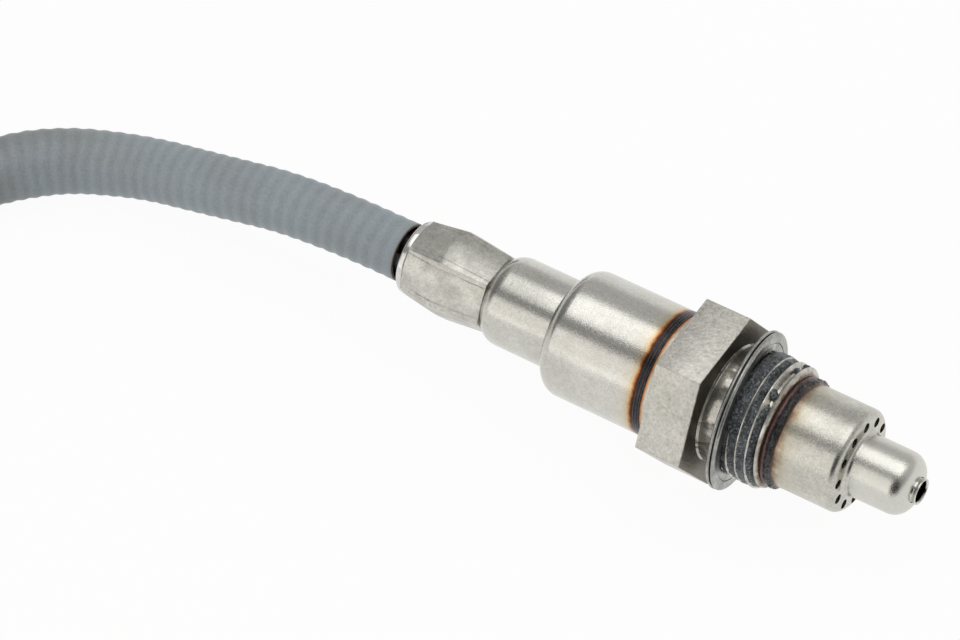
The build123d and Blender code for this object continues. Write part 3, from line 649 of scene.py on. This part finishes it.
# the neck is ground bright and has dark stains, as from paste
def neckMaterial(name):
    material, tree, shader, place = startMaterial(name, metallic=1.0)
    stain = noiseOf(tree, place, 0.42, 5.0, 0.62, (0.55, 1, 1))
    fine = noiseOf(tree, place, 3.0, 3.0, 0.6)
    amount = rangeOf(tree, stain, 0.47, 0.56, 0, 1)
    colour = mixOf(tree, rangeOf(tree, fine, 0.3, 0.7, 0, 1), (0.36, 0.35, 0.31), (0.47, 0.455, 0.405))
    colour = mixOf(tree, mathOf(tree, "MULTIPLY", amount, 0.85), colour, (0.09, 0.083, 0.07))
    rings = noiseOf(tree, place, 1.0, 2.0, 0.5, (7, 0.1, 0.1))
    linkSurface(tree, shader, colour, rangeOf(tree, amount, 0, 1, 0.17, 0.36),
                [(stain, 0.4, 0.12), (rings, 0.25, 0.03), (fine, 0.2, 0.02)])
    return material


neckPiece(housingLook, neckMaterial("neckSteel"))


# The M18 x 1.5 thread, a true helix cut off by its run-in and its lead-in cone
threadLook = {
    "pitch": 1.5, "crestRadius": 9.0, "rootRadius": 8.1, "crestFlat": 0.12, "turns": 6, "turnSteps": 144,
    "crestX": 3.2, "crestAngle": 45, "startX": 1.15, "runInX": 1.9, "endX": 6.5, "innerRadius": 7.2,
    "leadIn": [(5.6, 9.0), (6.2, 8.5), (6.45, 8.1), (6.5, 7.95)], "wear": 0.05,
}


def threadPiece(look, material):
    pitch, crest, root, turns = look["pitch"], look["crestRadius"], look["rootRadius"], look["turns"]
    half = look["crestFlat"] / 2
    flank = (crest - root) * math.tan(math.radians(30))
    first = look["crestX"] - turns / 2 * pitch
    bm = bmesh.new()
    profile = [(-half, crest), (half, crest), (half + flank * 0.5, (crest + root) / 2), (half + flank, root),
               (pitch - half - flank, root), (pitch - half - flank * 0.5, (crest + root) / 2),
               (pitch - half, crest)]
    verts = [bm.verts.new((first + x, -radius, 0)) for x, radius in profile]
    for start, end in zip(verts, verts[1:]):
        bm.edges.new((start, end))
    # the crest passes crestAngle at crestX, and X grows with a right-hand turn about +X
    turnMesh(bm, turnAbout(look["crestAngle"]))
    bmesh.ops.spin(bm, geom=bm.verts[:] + bm.edges[:], cent=(0, 0, 0), axis=(1, 0, 0),
                   dvec=(pitch / look["turnSteps"], 0, 0), angle=math.tau * turns,
                   steps=look["turnSteps"] * turns, use_merge=False, use_duplicate=False)
    bmesh.ops.remove_doubles(bm, verts=bm.verts, dist=1e-3)
    for x, outer in ((look["startX"], False), (look["endX"], True)):
        bmesh.ops.bisect_plane(bm, geom=bm.verts[:] + bm.edges[:] + bm.faces[:], plane_co=(x, 0, 0),
                               plane_no=(1, 0, 0), clear_outer=outer, clear_inner=not outer)
    for vert in bm.verts:
        radius = polar(vert)[1]
        x = vert.co.x
        limit = crest
        if x <= look["runInX"]:
            limit = root + (crest - root) * smoothStep(x, look["startX"], look["runInX"])
        limit = min(limit, along(x, look["leadIn"]))
        # the crests are nicked and worn
        nicks = noise.noise(vert.co * 1.4) + 0.5 * noise.noise(vert.co * 4.0)
        setRadius(vert, min(radius, limit) - look["wear"] * max(0, nicks))
    # a plain tube inside closes the shell
    rims = [edge for edge in bm.edges if edge.is_boundary]
    made = bmesh.ops.extrude_edge_only(bm, edges=rims)["geom"]
    for item in made:
        if isinstance(item, bmesh.types.BMVert):
            setRadius(item, look["innerRadius"])
    bmesh.ops.bridge_loops(bm, edges=[edge for edge in bm.edges if edge.is_boundary])
    bmesh.ops.recalc_face_normals(bm, faces=bm.faces)
    finishPiece("threadHelix", bm, material, ["hex_housing"], sharpAngle=40)


threadSteel = steelMaterial("threadSteel", {
    "colour": (0.60, 0.585, 0.53), "smudgeColour": (0.36, 0.345, 0.31), "smudgeScale": 0.9,
    "roughness": (0.2, 0.38), "grain": (3.0, 0.6, 0.05),
    "speckle": 0.12, "specks": 0.6, "bandWander": 0.12, "bandScale": 0.7,
    "tintsAndShade": [(6.0, (0.42, 0.39, 0.33, 0.0)), (6.25, (0.36, 0.32, 0.25, 0.6)),
              (6.38, (0.15, 0.10, 0.07, 0.9)), (6.6, (0.11, 0.07, 0.05, 0.95))],
})
threadPiece(threadLook, threadSteel)


# Assembly paste lies in the thread's grooves, dark and full of metal flakes
pasteLook = {
    "rearX": 0.6, "frontX": 6.2, "innerRadius": 7.6, "topRadius": 8.8, "lumps": 0.085, "steps": 360,
    "radius": [(0.6, 8.5), (0.9, 8.95), (1.3, 9.06), (2.3, 9.06), (2.8, 8.88), (5.0, 8.86), (5.5, 8.6),
               (5.8, 8.1), (6.2, 7.7)],
}


def pastePiece(look, material):
    rear, front, inner, top = look["rearX"], look["frontX"], look["innerRadius"], look["topRadius"]
    bm = lathe([(rear, inner), (rear, top), (front, top), (front, inner)], steps=look["steps"],
               longest=0.1, fineAbove=8.7)
    for vert in bm.verts:
        angle, radius = polar(vert)
        if radius < top - 0.05:
            continue
        x = vert.co.x
        lump = noise.noise(vert.co * 0.9) + 0.7 * noise.noise(vert.co * 2.3)
        lump += 0.5 * noise.noise(vert.co * 5.0)
        # below the near side less of it covers the first crest, and on top it is mostly wiped away
        bare = 1 - smoothStep(angle, 12, 45) if x < 2.7 and angle < 45 else 0
        wiped = smoothStep(angle, 56, 84) * (1 - smoothStep(angle, 170, 200)) * smoothStep(x, 3.2, 4.4)
        patch = smoothStep(noise.noise(vert.co * 0.5 + Vector((3.1, 0.4, 7.7))), -0.35, 0.1)
        setRadius(vert, along(x, look["radius"]) - 0.3 * bare + look["lumps"] * lump - 1.0 * wiped * patch)
    finishPiece("threadPaste", bm, material)


def pasteMaterial(name):
    material, tree, shader, place = startMaterial(name)
    patches = noiseOf(tree, place, 0.8, 4.0, 0.6)
    crumbs = noiseOf(tree, place, 2.6, 3.0, 0.65)
    flakes = makeNode(tree, "ShaderNodeTexVoronoi", {"Vector": place, "Scale": 8.0}).outputs["Color"]
    pick = makeNode(tree, "ShaderNodeSeparateXYZ", {0: flakes}).outputs[0]
    patch = rangeOf(tree, patches, 0.38, 0.62, 0, 1)
    colour = mixOf(tree, patch, (0.012, 0.014, 0.017), (0.062, 0.072, 0.081))
    colour = mixOf(tree, rangeOf(tree, crumbs, 0.50, 0.66, 0, 0.8), colour, (0.19, 0.205, 0.21))
    spark = mathOf(tree, "MULTIPLY", rangeOf(tree, pick, 0.86, 0.94, 0, 1),
                   rangeOf(tree, crumbs, 0.44, 0.60, 0, 0.8))
    colour = mixOf(tree, spark, colour, (0.38, 0.39, 0.385))
    tree.links.new(rangeOf(tree, spark, 0, 1, 0.3, 1.0), shader.inputs["Metallic"])
    roughness = rangeOf(tree, crumbs, 0.35, 0.65, 0.28, 0.5)
    linkSurface(tree, shader, colour, roughness, [(patches, 0.6, 0.2), (crumbs, 0.8, 0.12)])
    return material


pastePiece(pasteLook, pasteMaterial("flakedPaste"))


# The folded gasket hangs loose on the neck, tilted as in the photograph
gasketLook = {
    "innerRadius": 8.62, "outerRadius": 11.4, "thickness": 1.24, "edgeRound": 0.34, "slitWidth": 0.17,
    "slitDepth": 1.0, "faceSlit": 9.9, "faceSlitWidth": 0.09, "faceSlitDepth": 0.22, "warp": 0.045,
    "centreX": -0.22, "tilt": 6.2, "tiltAngle": 32,
}


def gasketPiece(look, material):
    half, slit, deep = look["thickness"] / 2, look["slitWidth"] / 2, look["slitDepth"]
    inner, outer, edge = look["innerRadius"], look["outerRadius"], look["edgeRound"]
    seam, gap, floor = look["faceSlit"], look["faceSlitWidth"] / 2, half - look["faceSlitDepth"]
    bm = lathe([
        (-half, inner, 0.25), (-half, outer - 0.1, edge), (-slit, outer, 0.18), (-slit, outer - deep),
        (slit, outer - deep), (slit, outer - 0.05, 0.18), (half, outer - 0.15, edge),
        (half, seam + gap, 0.05), (floor, seam + gap), (floor, seam - gap), (half - 0.05, seam - gap, 0.05),
        (half - 0.05, inner + 0.1, 0.35), (half - 0.5, inner),
    ], steps=240, roundSteps=6, longest=0.6)
    for vert in bm.verts:
        # the folded sheet is not quite flat
        angle, radius = polar(vert)
        vert.co.x += look["warp"] * noiseRound(angle, 2.2, 0.2 * radius)
    near = math.radians(look["tiltAngle"])
    turnMesh(bm, Matrix.Rotation(math.radians(look["tilt"]), 3, (0, math.sin(near), math.cos(near))))
    bmesh.ops.translate(bm, verts=bm.verts, vec=(look["centreX"], 0, 0))
    finishPiece("foldedGasket", bm, material, ["seal_ring"])


gasketSteel = steelMaterial("gasketSteel", {
    "colour": (0.40, 0.40, 0.375), "smudgeColour": (0.27, 0.27, 0.255), "smudgeScale": 0.55,
    "roughness": (0.26, 0.40), "grain": (2.8, 0.7, 0.06),
    "speckle": 0.22, "specks": 0.8, "waves": 0.35,
})
gasketPiece(gasketLook, gasketSteel)


# The outer protection tube with its ring of gas holes and its domed tip
tubeLook = {
    "rearX": 6.95, "radius": 7.42, "shoulderX": 17.35, "shoulderRound": 1.2, "tipRadius": 4.46,
    "rootRound": 0.8, "faceX": 26.0, "domeRound": 2.55, "wall": 0.4, "mouthRadius": 1.88, "steps": 288,
    "holes": 12, "holeRadius": 0.7, "holeRing": 5.87, "holePhase": 78.3,
}


def holeCutter(look):
    bm = bmesh.new()
    for index in range(look["holes"]):
        turn = math.radians(look["holePhase"] + 360 / look["holes"] * index)
        y, z = -look["holeRing"] * math.cos(turn), look["holeRing"] * math.sin(turn)
        place = Matrix.Translation((look["shoulderX"], y, z)) @ Matrix.Rotation(math.radians(90), 4, "Y")
        bmesh.ops.create_cone(bm, cap_ends=True, segments=32, radius1=look["holeRadius"],
                              radius2=look["holeRadius"], depth=3, matrix=place)
    makeMetres(bm)
    return linkMesh("holeCutter", bm)


def tubePiece(look, material):
    outer, tip, wall = look["radius"], look["tipRadius"], look["wall"]
    shoulder, face = look["shoulderX"], look["faceX"]
    bm = lathe([
        (look["rearX"], outer - wall), (look["rearX"], outer),
        (shoulder, outer, look["shoulderRound"]),
        (shoulder, tip + 0.05, look["rootRound"]),
        (face, tip, look["domeRound"]), (face, look["mouthRadius"]), (face - wall, look["mouthRadius"]),
        (face - wall, tip - wall, look["domeRound"] - wall), (shoulder - wall, tip - wall, 0.5),
        (shoulder - wall, outer - wall, look["shoulderRound"] - wall),
    ], steps=look["steps"], roundSteps=14)
    piece = finishPiece("ventedTube", bm, material, ["outer_protection_tube"])
    cutter = holeCutter(look)
    holes = piece.modifiers.new("gasHoles", "BOOLEAN")
    holes.operation = "DIFFERENCE"
    holes.object = cutter
    holes.solver = "EXACT"
    cut = bpy.data.meshes.new_from_object(piece.evaluated_get(bpy.context.evaluated_depsgraph_get()))
    piece.modifiers.remove(holes)
    bpy.data.objects.remove(cutter)
    old = piece.data
    piece.data = cut
    bpy.data.meshes.remove(old)
    cut.name = "ventedTube"
    cut.set_sharp_from_angle(angle=math.radians(plainSharpAngle))


tubeSteel = steelMaterial("tubeSteel", {
    "colour": (0.565, 0.552, 0.498), "smudgeColour": (0.50, 0.488, 0.435), "smudgeScale": 0.22,
    "roughness": (0.25, 0.33), "grain": (4.0, 0.6, 0.036),
    "speckle": 0.18, "specks": 0.6, "bandWander": 0.55, "bandScale": 0.35,
    # the first stops are heat tints by the weld; from 17.6 mm on the steel is lighter, up to the tip
    "tintsAndShade": [(7.6, (0.06, 0.03, 0.022, 1.0)), (8.05, (0.15, 0.085, 0.05, 0.95)),
              (8.6, (0.28, 0.195, 0.115, 0.8)), (9.3, (0.40, 0.345, 0.245, 0.6)),
              (10.6, (0.49, 0.455, 0.365, 0.4)), (13.5, (0.54, 0.52, 0.46, 0.0)),
              (17.6, (0.66, 0.65, 0.60, 0.0)), (19.5, (0.66, 0.65, 0.60, 0.65)),
              (27.0, (0.66, 0.65, 0.60, 0.65))],
})
tubePiece(tubeLook, tubeSteel)


# The front weld: a narrow brown ridge, a crevice and a coarse black bead
frontWeldLook = {
    "rearX": 6.0, "frontX": 8.15, "innerRadius": 7.0, "tubeRadius": 7.42, "lump": 0.15, "steps": 320,
    "outline": [(6.15, 8.02), (6.4, 7.80, 0.1), (6.62, 7.86, 0.1), (6.84, 7.98, 0.12), (7.04, 7.88, 0.08),
                (7.16, 7.72, 0.05), (7.3, 7.9, 0.1), (7.56, 7.97, 0.2), (7.84, 7.82, 0.15), (8.0, 7.5, 0.1)],
}


def frontWeldPiece(look, material):
    rear, front, inner, tube = look["rearX"], look["frontX"], look["innerRadius"], look["tubeRadius"]
    bm = lathe([(rear, inner), *look["outline"], (front, tube), (front, inner)], steps=look["steps"],
               longest=0.1, roundSteps=4, fineAbove=7.45)
    for vert in bm.verts:
        angle, now = polar(vert)
        if now < tube - 0.01:
            continue
        bead = smoothStep(vert.co.x, 7.02, 7.4)
        lump = noise.noise(vert.co * 1.1) + 0.8 * noise.noise(vert.co * 2.7 + Vector((4, 2, 1)))
        lump += 0.4 * noise.noise(vert.co * 6)
        edge = smoothStep(now, tube, 7.7)
        wave = noiseRound(angle, 2.5, 2)
        setRadius(vert, now + look["lump"] * (0.25 + 0.9 * bead) * lump * edge)
        # over the top the bead runs a little further on to the tube
        vert.co.x += (0.08 + 0.14 * bead) * wave + 0.25 * smoothStep(angle, 80, 120) * bead
    finishPiece("frontWeld", bm, material)


lumpyWeld = steelMaterial("lumpyWeld", {
    "colour": (0.010, 0.010, 0.012), "smudgeColour": (0.038, 0.036, 0.037), "smudgeScale": 1.5,
    "metallic": 0.2, "roughness": (0.08, 0.30), "grain": (1.8, 0.8, 0.16),
    "speckle": 0.2, "bandWander": 0.16, "bandScale": 0.55,
    "tintsAndShade": [(6.0, (0.26, 0.20, 0.15, 0.9)), (6.3, (0.13, 0.07, 0.045, 0.95)),
              (6.6, (0.075, 0.035, 0.026, 0.95)), (6.8, (0.15, 0.085, 0.08, 0.9)),
              (6.98, (0.10, 0.05, 0.045, 0.85)), (7.15, (0.04, 0.025, 0.02, 0.6)),
              (7.4, (0.03, 0.03, 0.03, 0.0)), (7.85, (0.03, 0.03, 0.03, 0.0)),
              (8.15, (0.12, 0.06, 0.035, 0.9))],
})
frontWeldPiece(frontWeldLook, lumpyWeld)


# The nozzle of the inner tube stands out of the dome, its lip slightly flared
nozzleLook = {"rearX": 24.0, "frontX": 26.72, "radius": 1.76, "bore": 1.5, "lip": 0.14}


def nozzlePiece(look, material):
    rear, front, radius, bore = look["rearX"], look["frontX"], look["radius"], look["bore"]
    lip = radius + look["lip"]
    bm = lathe([
        (rear, 0.05), (rear, 2.6, 0.3), (25.3, 2.6, 0.3), (25.6, 1.95, 0.2), (26.1, radius, 0.15),
        (front - 0.42, radius, 0.3), (front - 0.12, lip, 0.1), (front, lip - 0.02, 0.06),
        (front - 0.02, bore + 0.16, 0.05), (front - 0.3, bore, 0.2), (rear + 0.3, bore), (rear + 0.3, 0.05),
    ], steps=96)
    skirt = lathe([
        (7.05, 6.6), (7.05, 6.95), (11.0, 6.95, 0.3), (13.0, 3.5, 0.3), (25.0, 3.5, 1.5), (25.0, 1.55),
        (24.8, 1.55), (24.8, 3.15, 1.4), (13.0, 3.15, 0.3), (11.0, 6.6, 0.3),
    ], steps=96)
    addShell(bm, skirt)
    finishPiece("innerNozzle", bm, material, ["inner_protection_tube"])


# the nozzle's bore is painted nearly black as painted shade
nozzleSteel = steelMaterial("nozzleSteel", {
    "colour": (0.66, 0.655, 0.62), "smudgeColour": (0.52, 0.51, 0.47), "smudgeScale": 0.8, "paintedBoreShade": 1.53,
    "roughness": (0.12, 0.22), "grain": (3.0, 0.2, 0.02), "speckle": 0.05,
})
nozzlePiece(nozzleLook, nozzleSteel)
print("sensor pieces built")


# The rubber boot behind the plug, grooved so that it bends
bootLook = {
    "rearX": -149.0, "frontX": -131.05, "axisY": 67.0, "axisZ": -3.4, "conduitRadius": 4.3,
    "neckRadius": 5.05, "rearRadius": 5.4, "frontRadius": 6.3, "taperEndX": -137.05, "stopX": -139.9,
    "grooves": 5, "firstGroove": -146.6, "groovePitch": 2.05, "grooveDepth": 0.55, "grooveWidth": 0.95,
    "grooveRound": 0.12,
}


def bootPiece(look, material):
    rear, front, thin, thick = look["rearX"], look["frontX"], look["rearRadius"], look["frontRadius"]
    taper = [(rear, thin), (look["taperEndX"], thick), (front, thick)]
    deep, width = look["grooveDepth"], look["grooveWidth"]
    outline = [(rear, look["conduitRadius"]), (rear, thin + 0.05, 0.35), (rear + 1.3, thin + 0.05, 0.3)]
    for index in range(look["grooves"]):
        x = look["firstGroove"] + index * look["groovePitch"]
        for place, depth in ((x, 0), (x + 0.15, deep), (x + width - 0.15, deep), (x + width, 0)):
            outline.append((place, along(place, taper) - depth, look["grooveRound"]))
    outline += [
        (front - 5.6, thick, 0.3), (front - 1.5, thick - 0.02, 0.2), (front - 1.3, thick - 0.3, 0.1),
        (front - 1.0, thick - 0.3, 0.1), (front - 0.9, thick, 0.1), (front, thick, 0.3),
        (front, look["neckRadius"]), (look["stopX"], look["neckRadius"]),
        (look["stopX"], look["conduitRadius"]),
    ]
    bm = lathe(outline, steps=96, roundSteps=4)
    bmesh.ops.translate(bm, verts=bm.verts, vec=(0, look["axisY"], look["axisZ"]))
    return finishPiece("groovedBoot", bm, material, ["conduit_boot"])


# The CAD parts that stay get their finishes, and softened edges where they are moulded
def dress(node, material, rounding=0):
    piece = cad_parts[node]
    piece.data.materials.clear()
    piece.data.materials.append(material)
    piece.data.shade_smooth()
    piece.data.set_sharp_from_angle(angle=math.radians(plainSharpAngle))
    if rounding:
        joined = piece.modifiers.new("joined", "WELD")
        joined.merge_threshold = 0.000005
        softened = piece.modifiers.new("softened", "BEVEL")
        softened.width = rounding / 1000
        softened.segments = 2
        softened.limit_method = "ANGLE"
        softened.angle_limit = math.radians(50)
        softened.harden_normals = False


plugPlastic = plasticMaterial("plugPlastic", (0.030, 0.031, 0.033))
bootRubber = plasticMaterial("bootRubber", (0.022, 0.022, 0.023), (0.55, 0.72))
springMetal = steelMaterial("springMetal", {
    "colour": (0.62, 0.58, 0.50), "smudgeColour": (0.55, 0.52, 0.46), "smudgeScale": 0.6,
    "roughness": (0.2, 0.3), "grain": (4.0, 0.2, 0.02), "speckle": 0.05,
})
pinMetal = steelMaterial("pinMetal", {
    "colour": (0.68, 0.67, 0.65), "smudgeColour": (0.58, 0.57, 0.55), "smudgeScale": 0.6,
    "roughness": (0.18, 0.28), "grain": (4.0, 0.2, 0.02), "speckle": 0,
})
# painted shade: the wires' colours are much darker than their own, as they lie in the shaded gap between the
# sleeve's lip and the conduit
shadedWireColours = {"black": (0.02, 0.02, 0.02), "grey": (0.11, 0.115, 0.12), "white": (0.30, 0.29, 0.27),
               "yellow": (0.22, 0.15, 0.03), "red": (0.14, 0.012, 0.012)}
for colourName, colour in shadedWireColours.items():
    dress("wire_" + colourName, plasticMaterial("wire" + colourName.capitalize(), colour, (0.3, 0.42)))
groovedBoot = bootPiece(bootLook, bootRubber)
for nodeName in ("rear_cover", "connector_housing"):
    dress(nodeName, plugPlastic, rounding=0.3)
for material, nodeNames in (
    (bootRubber, ["plug_wires"]),
    (plasticMaterial("sealRubber", (0.42, 0.10, 0.05), (0.4, 0.55)), ["socket_seal", "wire_seals"]),
    (plasticMaterial("lockPlastic", (0.45, 0.10, 0.04)), ["pin_lock"]),
    (plasticMaterial("grommetRubber", (0.06, 0.045, 0.035), (0.5, 0.7)), ["wire_grommet"]),
    (plasticMaterial("whiteCeramic", (0.72, 0.70, 0.66)),
     ["contact_holder_upper", "contact_holder_lower", "rear_ceramic", "front_ceramic", "sensor_element"]),
    (plasticMaterial("pressedTalc", (0.55, 0.55, 0.52), (0.7, 0.85)), ["talc_packing"]),
    (springMetal, ["contact_springs", "holder_clip"]),
    (pinMetal, ["connector_pins"]),
):
    for nodeName in nodeNames:
        dress(nodeName, material)
print("finishes assigned")


# A white table, a pale room and two soft boxes. Directions are (sideways, across, height) from the object.
studio = {
    "tableZ": -0.0115, "tableRadius": 4.0, "tableGlow": 0.95, "tableWhite": (0.88, 0.88, 0.87),
    "horizon": 1.0, "frontGap": 0.34, "backHigh": 0.57, "leftShade": 0.5,
    "darkSpot": {"towards": (0.52, -0.76, 0.39), "inner": 0.955, "outer": 0.85, "strength": 0.06},
    "overhead": {"elevation": 98, "halfAngle": 23, "distance": 1.2, "middleX": 0.03, "length": 1.42,
                 "radiance": 1.21, "colour": (1.0, 1.0, 1.0)},
    "front": {"elevation": 28.2, "halfAngle": 23.2, "distance": 1.2, "middleX": -0.745, "length": 1.59,
              "radiance": 0.86, "colour": (1.0, 0.975, 0.955)},
}


def makeTable(look):
    bm = bmesh.new()
    bmesh.ops.create_circle(bm, cap_ends=True, segments=96, radius=look["tableRadius"],
                            matrix=Matrix.Translation((0, 0, look["tableZ"])))
    table = linkMesh("whiteTable", bm)
    material, tree, shader, place = startMaterial("tableWhite", colour=look["tableWhite"], roughness=1.0)
    shader.inputs["Specular IOR Level"].default_value = 0.0
    # it glows white to the camera and in reflections, and lights dull surfaces only by bounced light
    rays = makeNode(tree, "ShaderNodeLightPath").outputs
    seen = mathOf(tree, "ADD", rays["Is Camera Ray"], rays["Is Glossy Ray"])
    seen = mathOf(tree, "ADD", seen, rays["Is Transmission Ray"], clamp=True)
    glow = makeNode(tree, "ShaderNodeEmission", {"Color": (1, 1, 1, 1), "Strength": 1.0}).outputs[0]
    blend = makeNode(tree, "ShaderNodeMixShader", {0: mathOf(tree, "MULTIPLY", seen, look["tableGlow"]),
                                                   1: shader.outputs[0], 2: glow})
    tree.links.new(blend.outputs[0], tree.nodes["Material Output"].inputs["Surface"])
    table.data.materials.append(material)


def makeRoom(look):
    room = bpy.data.worlds.new("paleRoom")
    scene.world = room
    room.use_nodes = True
    tree = room.node_tree
    direction = makeNode(tree, "ShaderNodeTexCoord").outputs["Generated"]
    sideways, across, height = makeNode(tree, "ShaderNodeSeparateXYZ", {0: direction}).outputs
    wall = rangeOf(tree, across, -0.35, 0.25, look["frontGap"], look["backHigh"])
    wall = mathOf(tree, "MULTIPLY", wall, rangeOf(tree, sideways, -0.75, -0.52, look["leftShade"], 1))
    low = rangeOf(tree, height, 0.02, 0.30, 1, 0)
    wall = mathOf(tree, "ADD", mathOf(tree, "MULTIPLY", low, look["horizon"]),
                  mathOf(tree, "MULTIPLY", mathOf(tree, "SUBTRACT", 1, low), wall))
    spot = look["darkSpot"]
    nearness = makeNode(tree, "ShaderNodeVectorMath", {0: direction, 1: Vector(spot["towards"]).normalized()},
                        operation="DOT_PRODUCT").outputs["Value"]
    shaded = rangeOf(tree, nearness, spot["outer"], spot["inner"], 1, spot["strength"])
    background = tree.nodes["Background"]
    background.inputs["Color"].default_value = (1, 1, 1, 1)
    tree.links.new(mathOf(tree, "MULTIPLY", wall, shaded), background.inputs["Strength"])


def makeSoftBox(name, look):
    lamp = bpy.data.lights.new(name, "AREA")
    lamp.shape = "RECTANGLE"
    lamp.size = look["length"]
    lamp.size_y = 2 * look["distance"] * math.tan(math.radians(look["halfAngle"]))
    lamp.energy = look["radiance"] * math.pi * lamp.size * lamp.size_y
    lamp.color = look["colour"]
    box = bpy.data.objects.new(name, lamp)
    scene.collection.objects.link(box)
    turn = math.radians(look["elevation"])
    box.location = (look["middleX"], -look["distance"] * math.cos(turn), look["distance"] * math.sin(turn))
    box.rotation_euler = (math.radians(90 - look["elevation"]), 0, 0)
    box.visible_camera = False


makeTable(studio)
makeRoom(studio)
for boxName in ("overhead", "front"):
    makeSoftBox(boxName + "Box", studio[boxName])
print("studio ready")
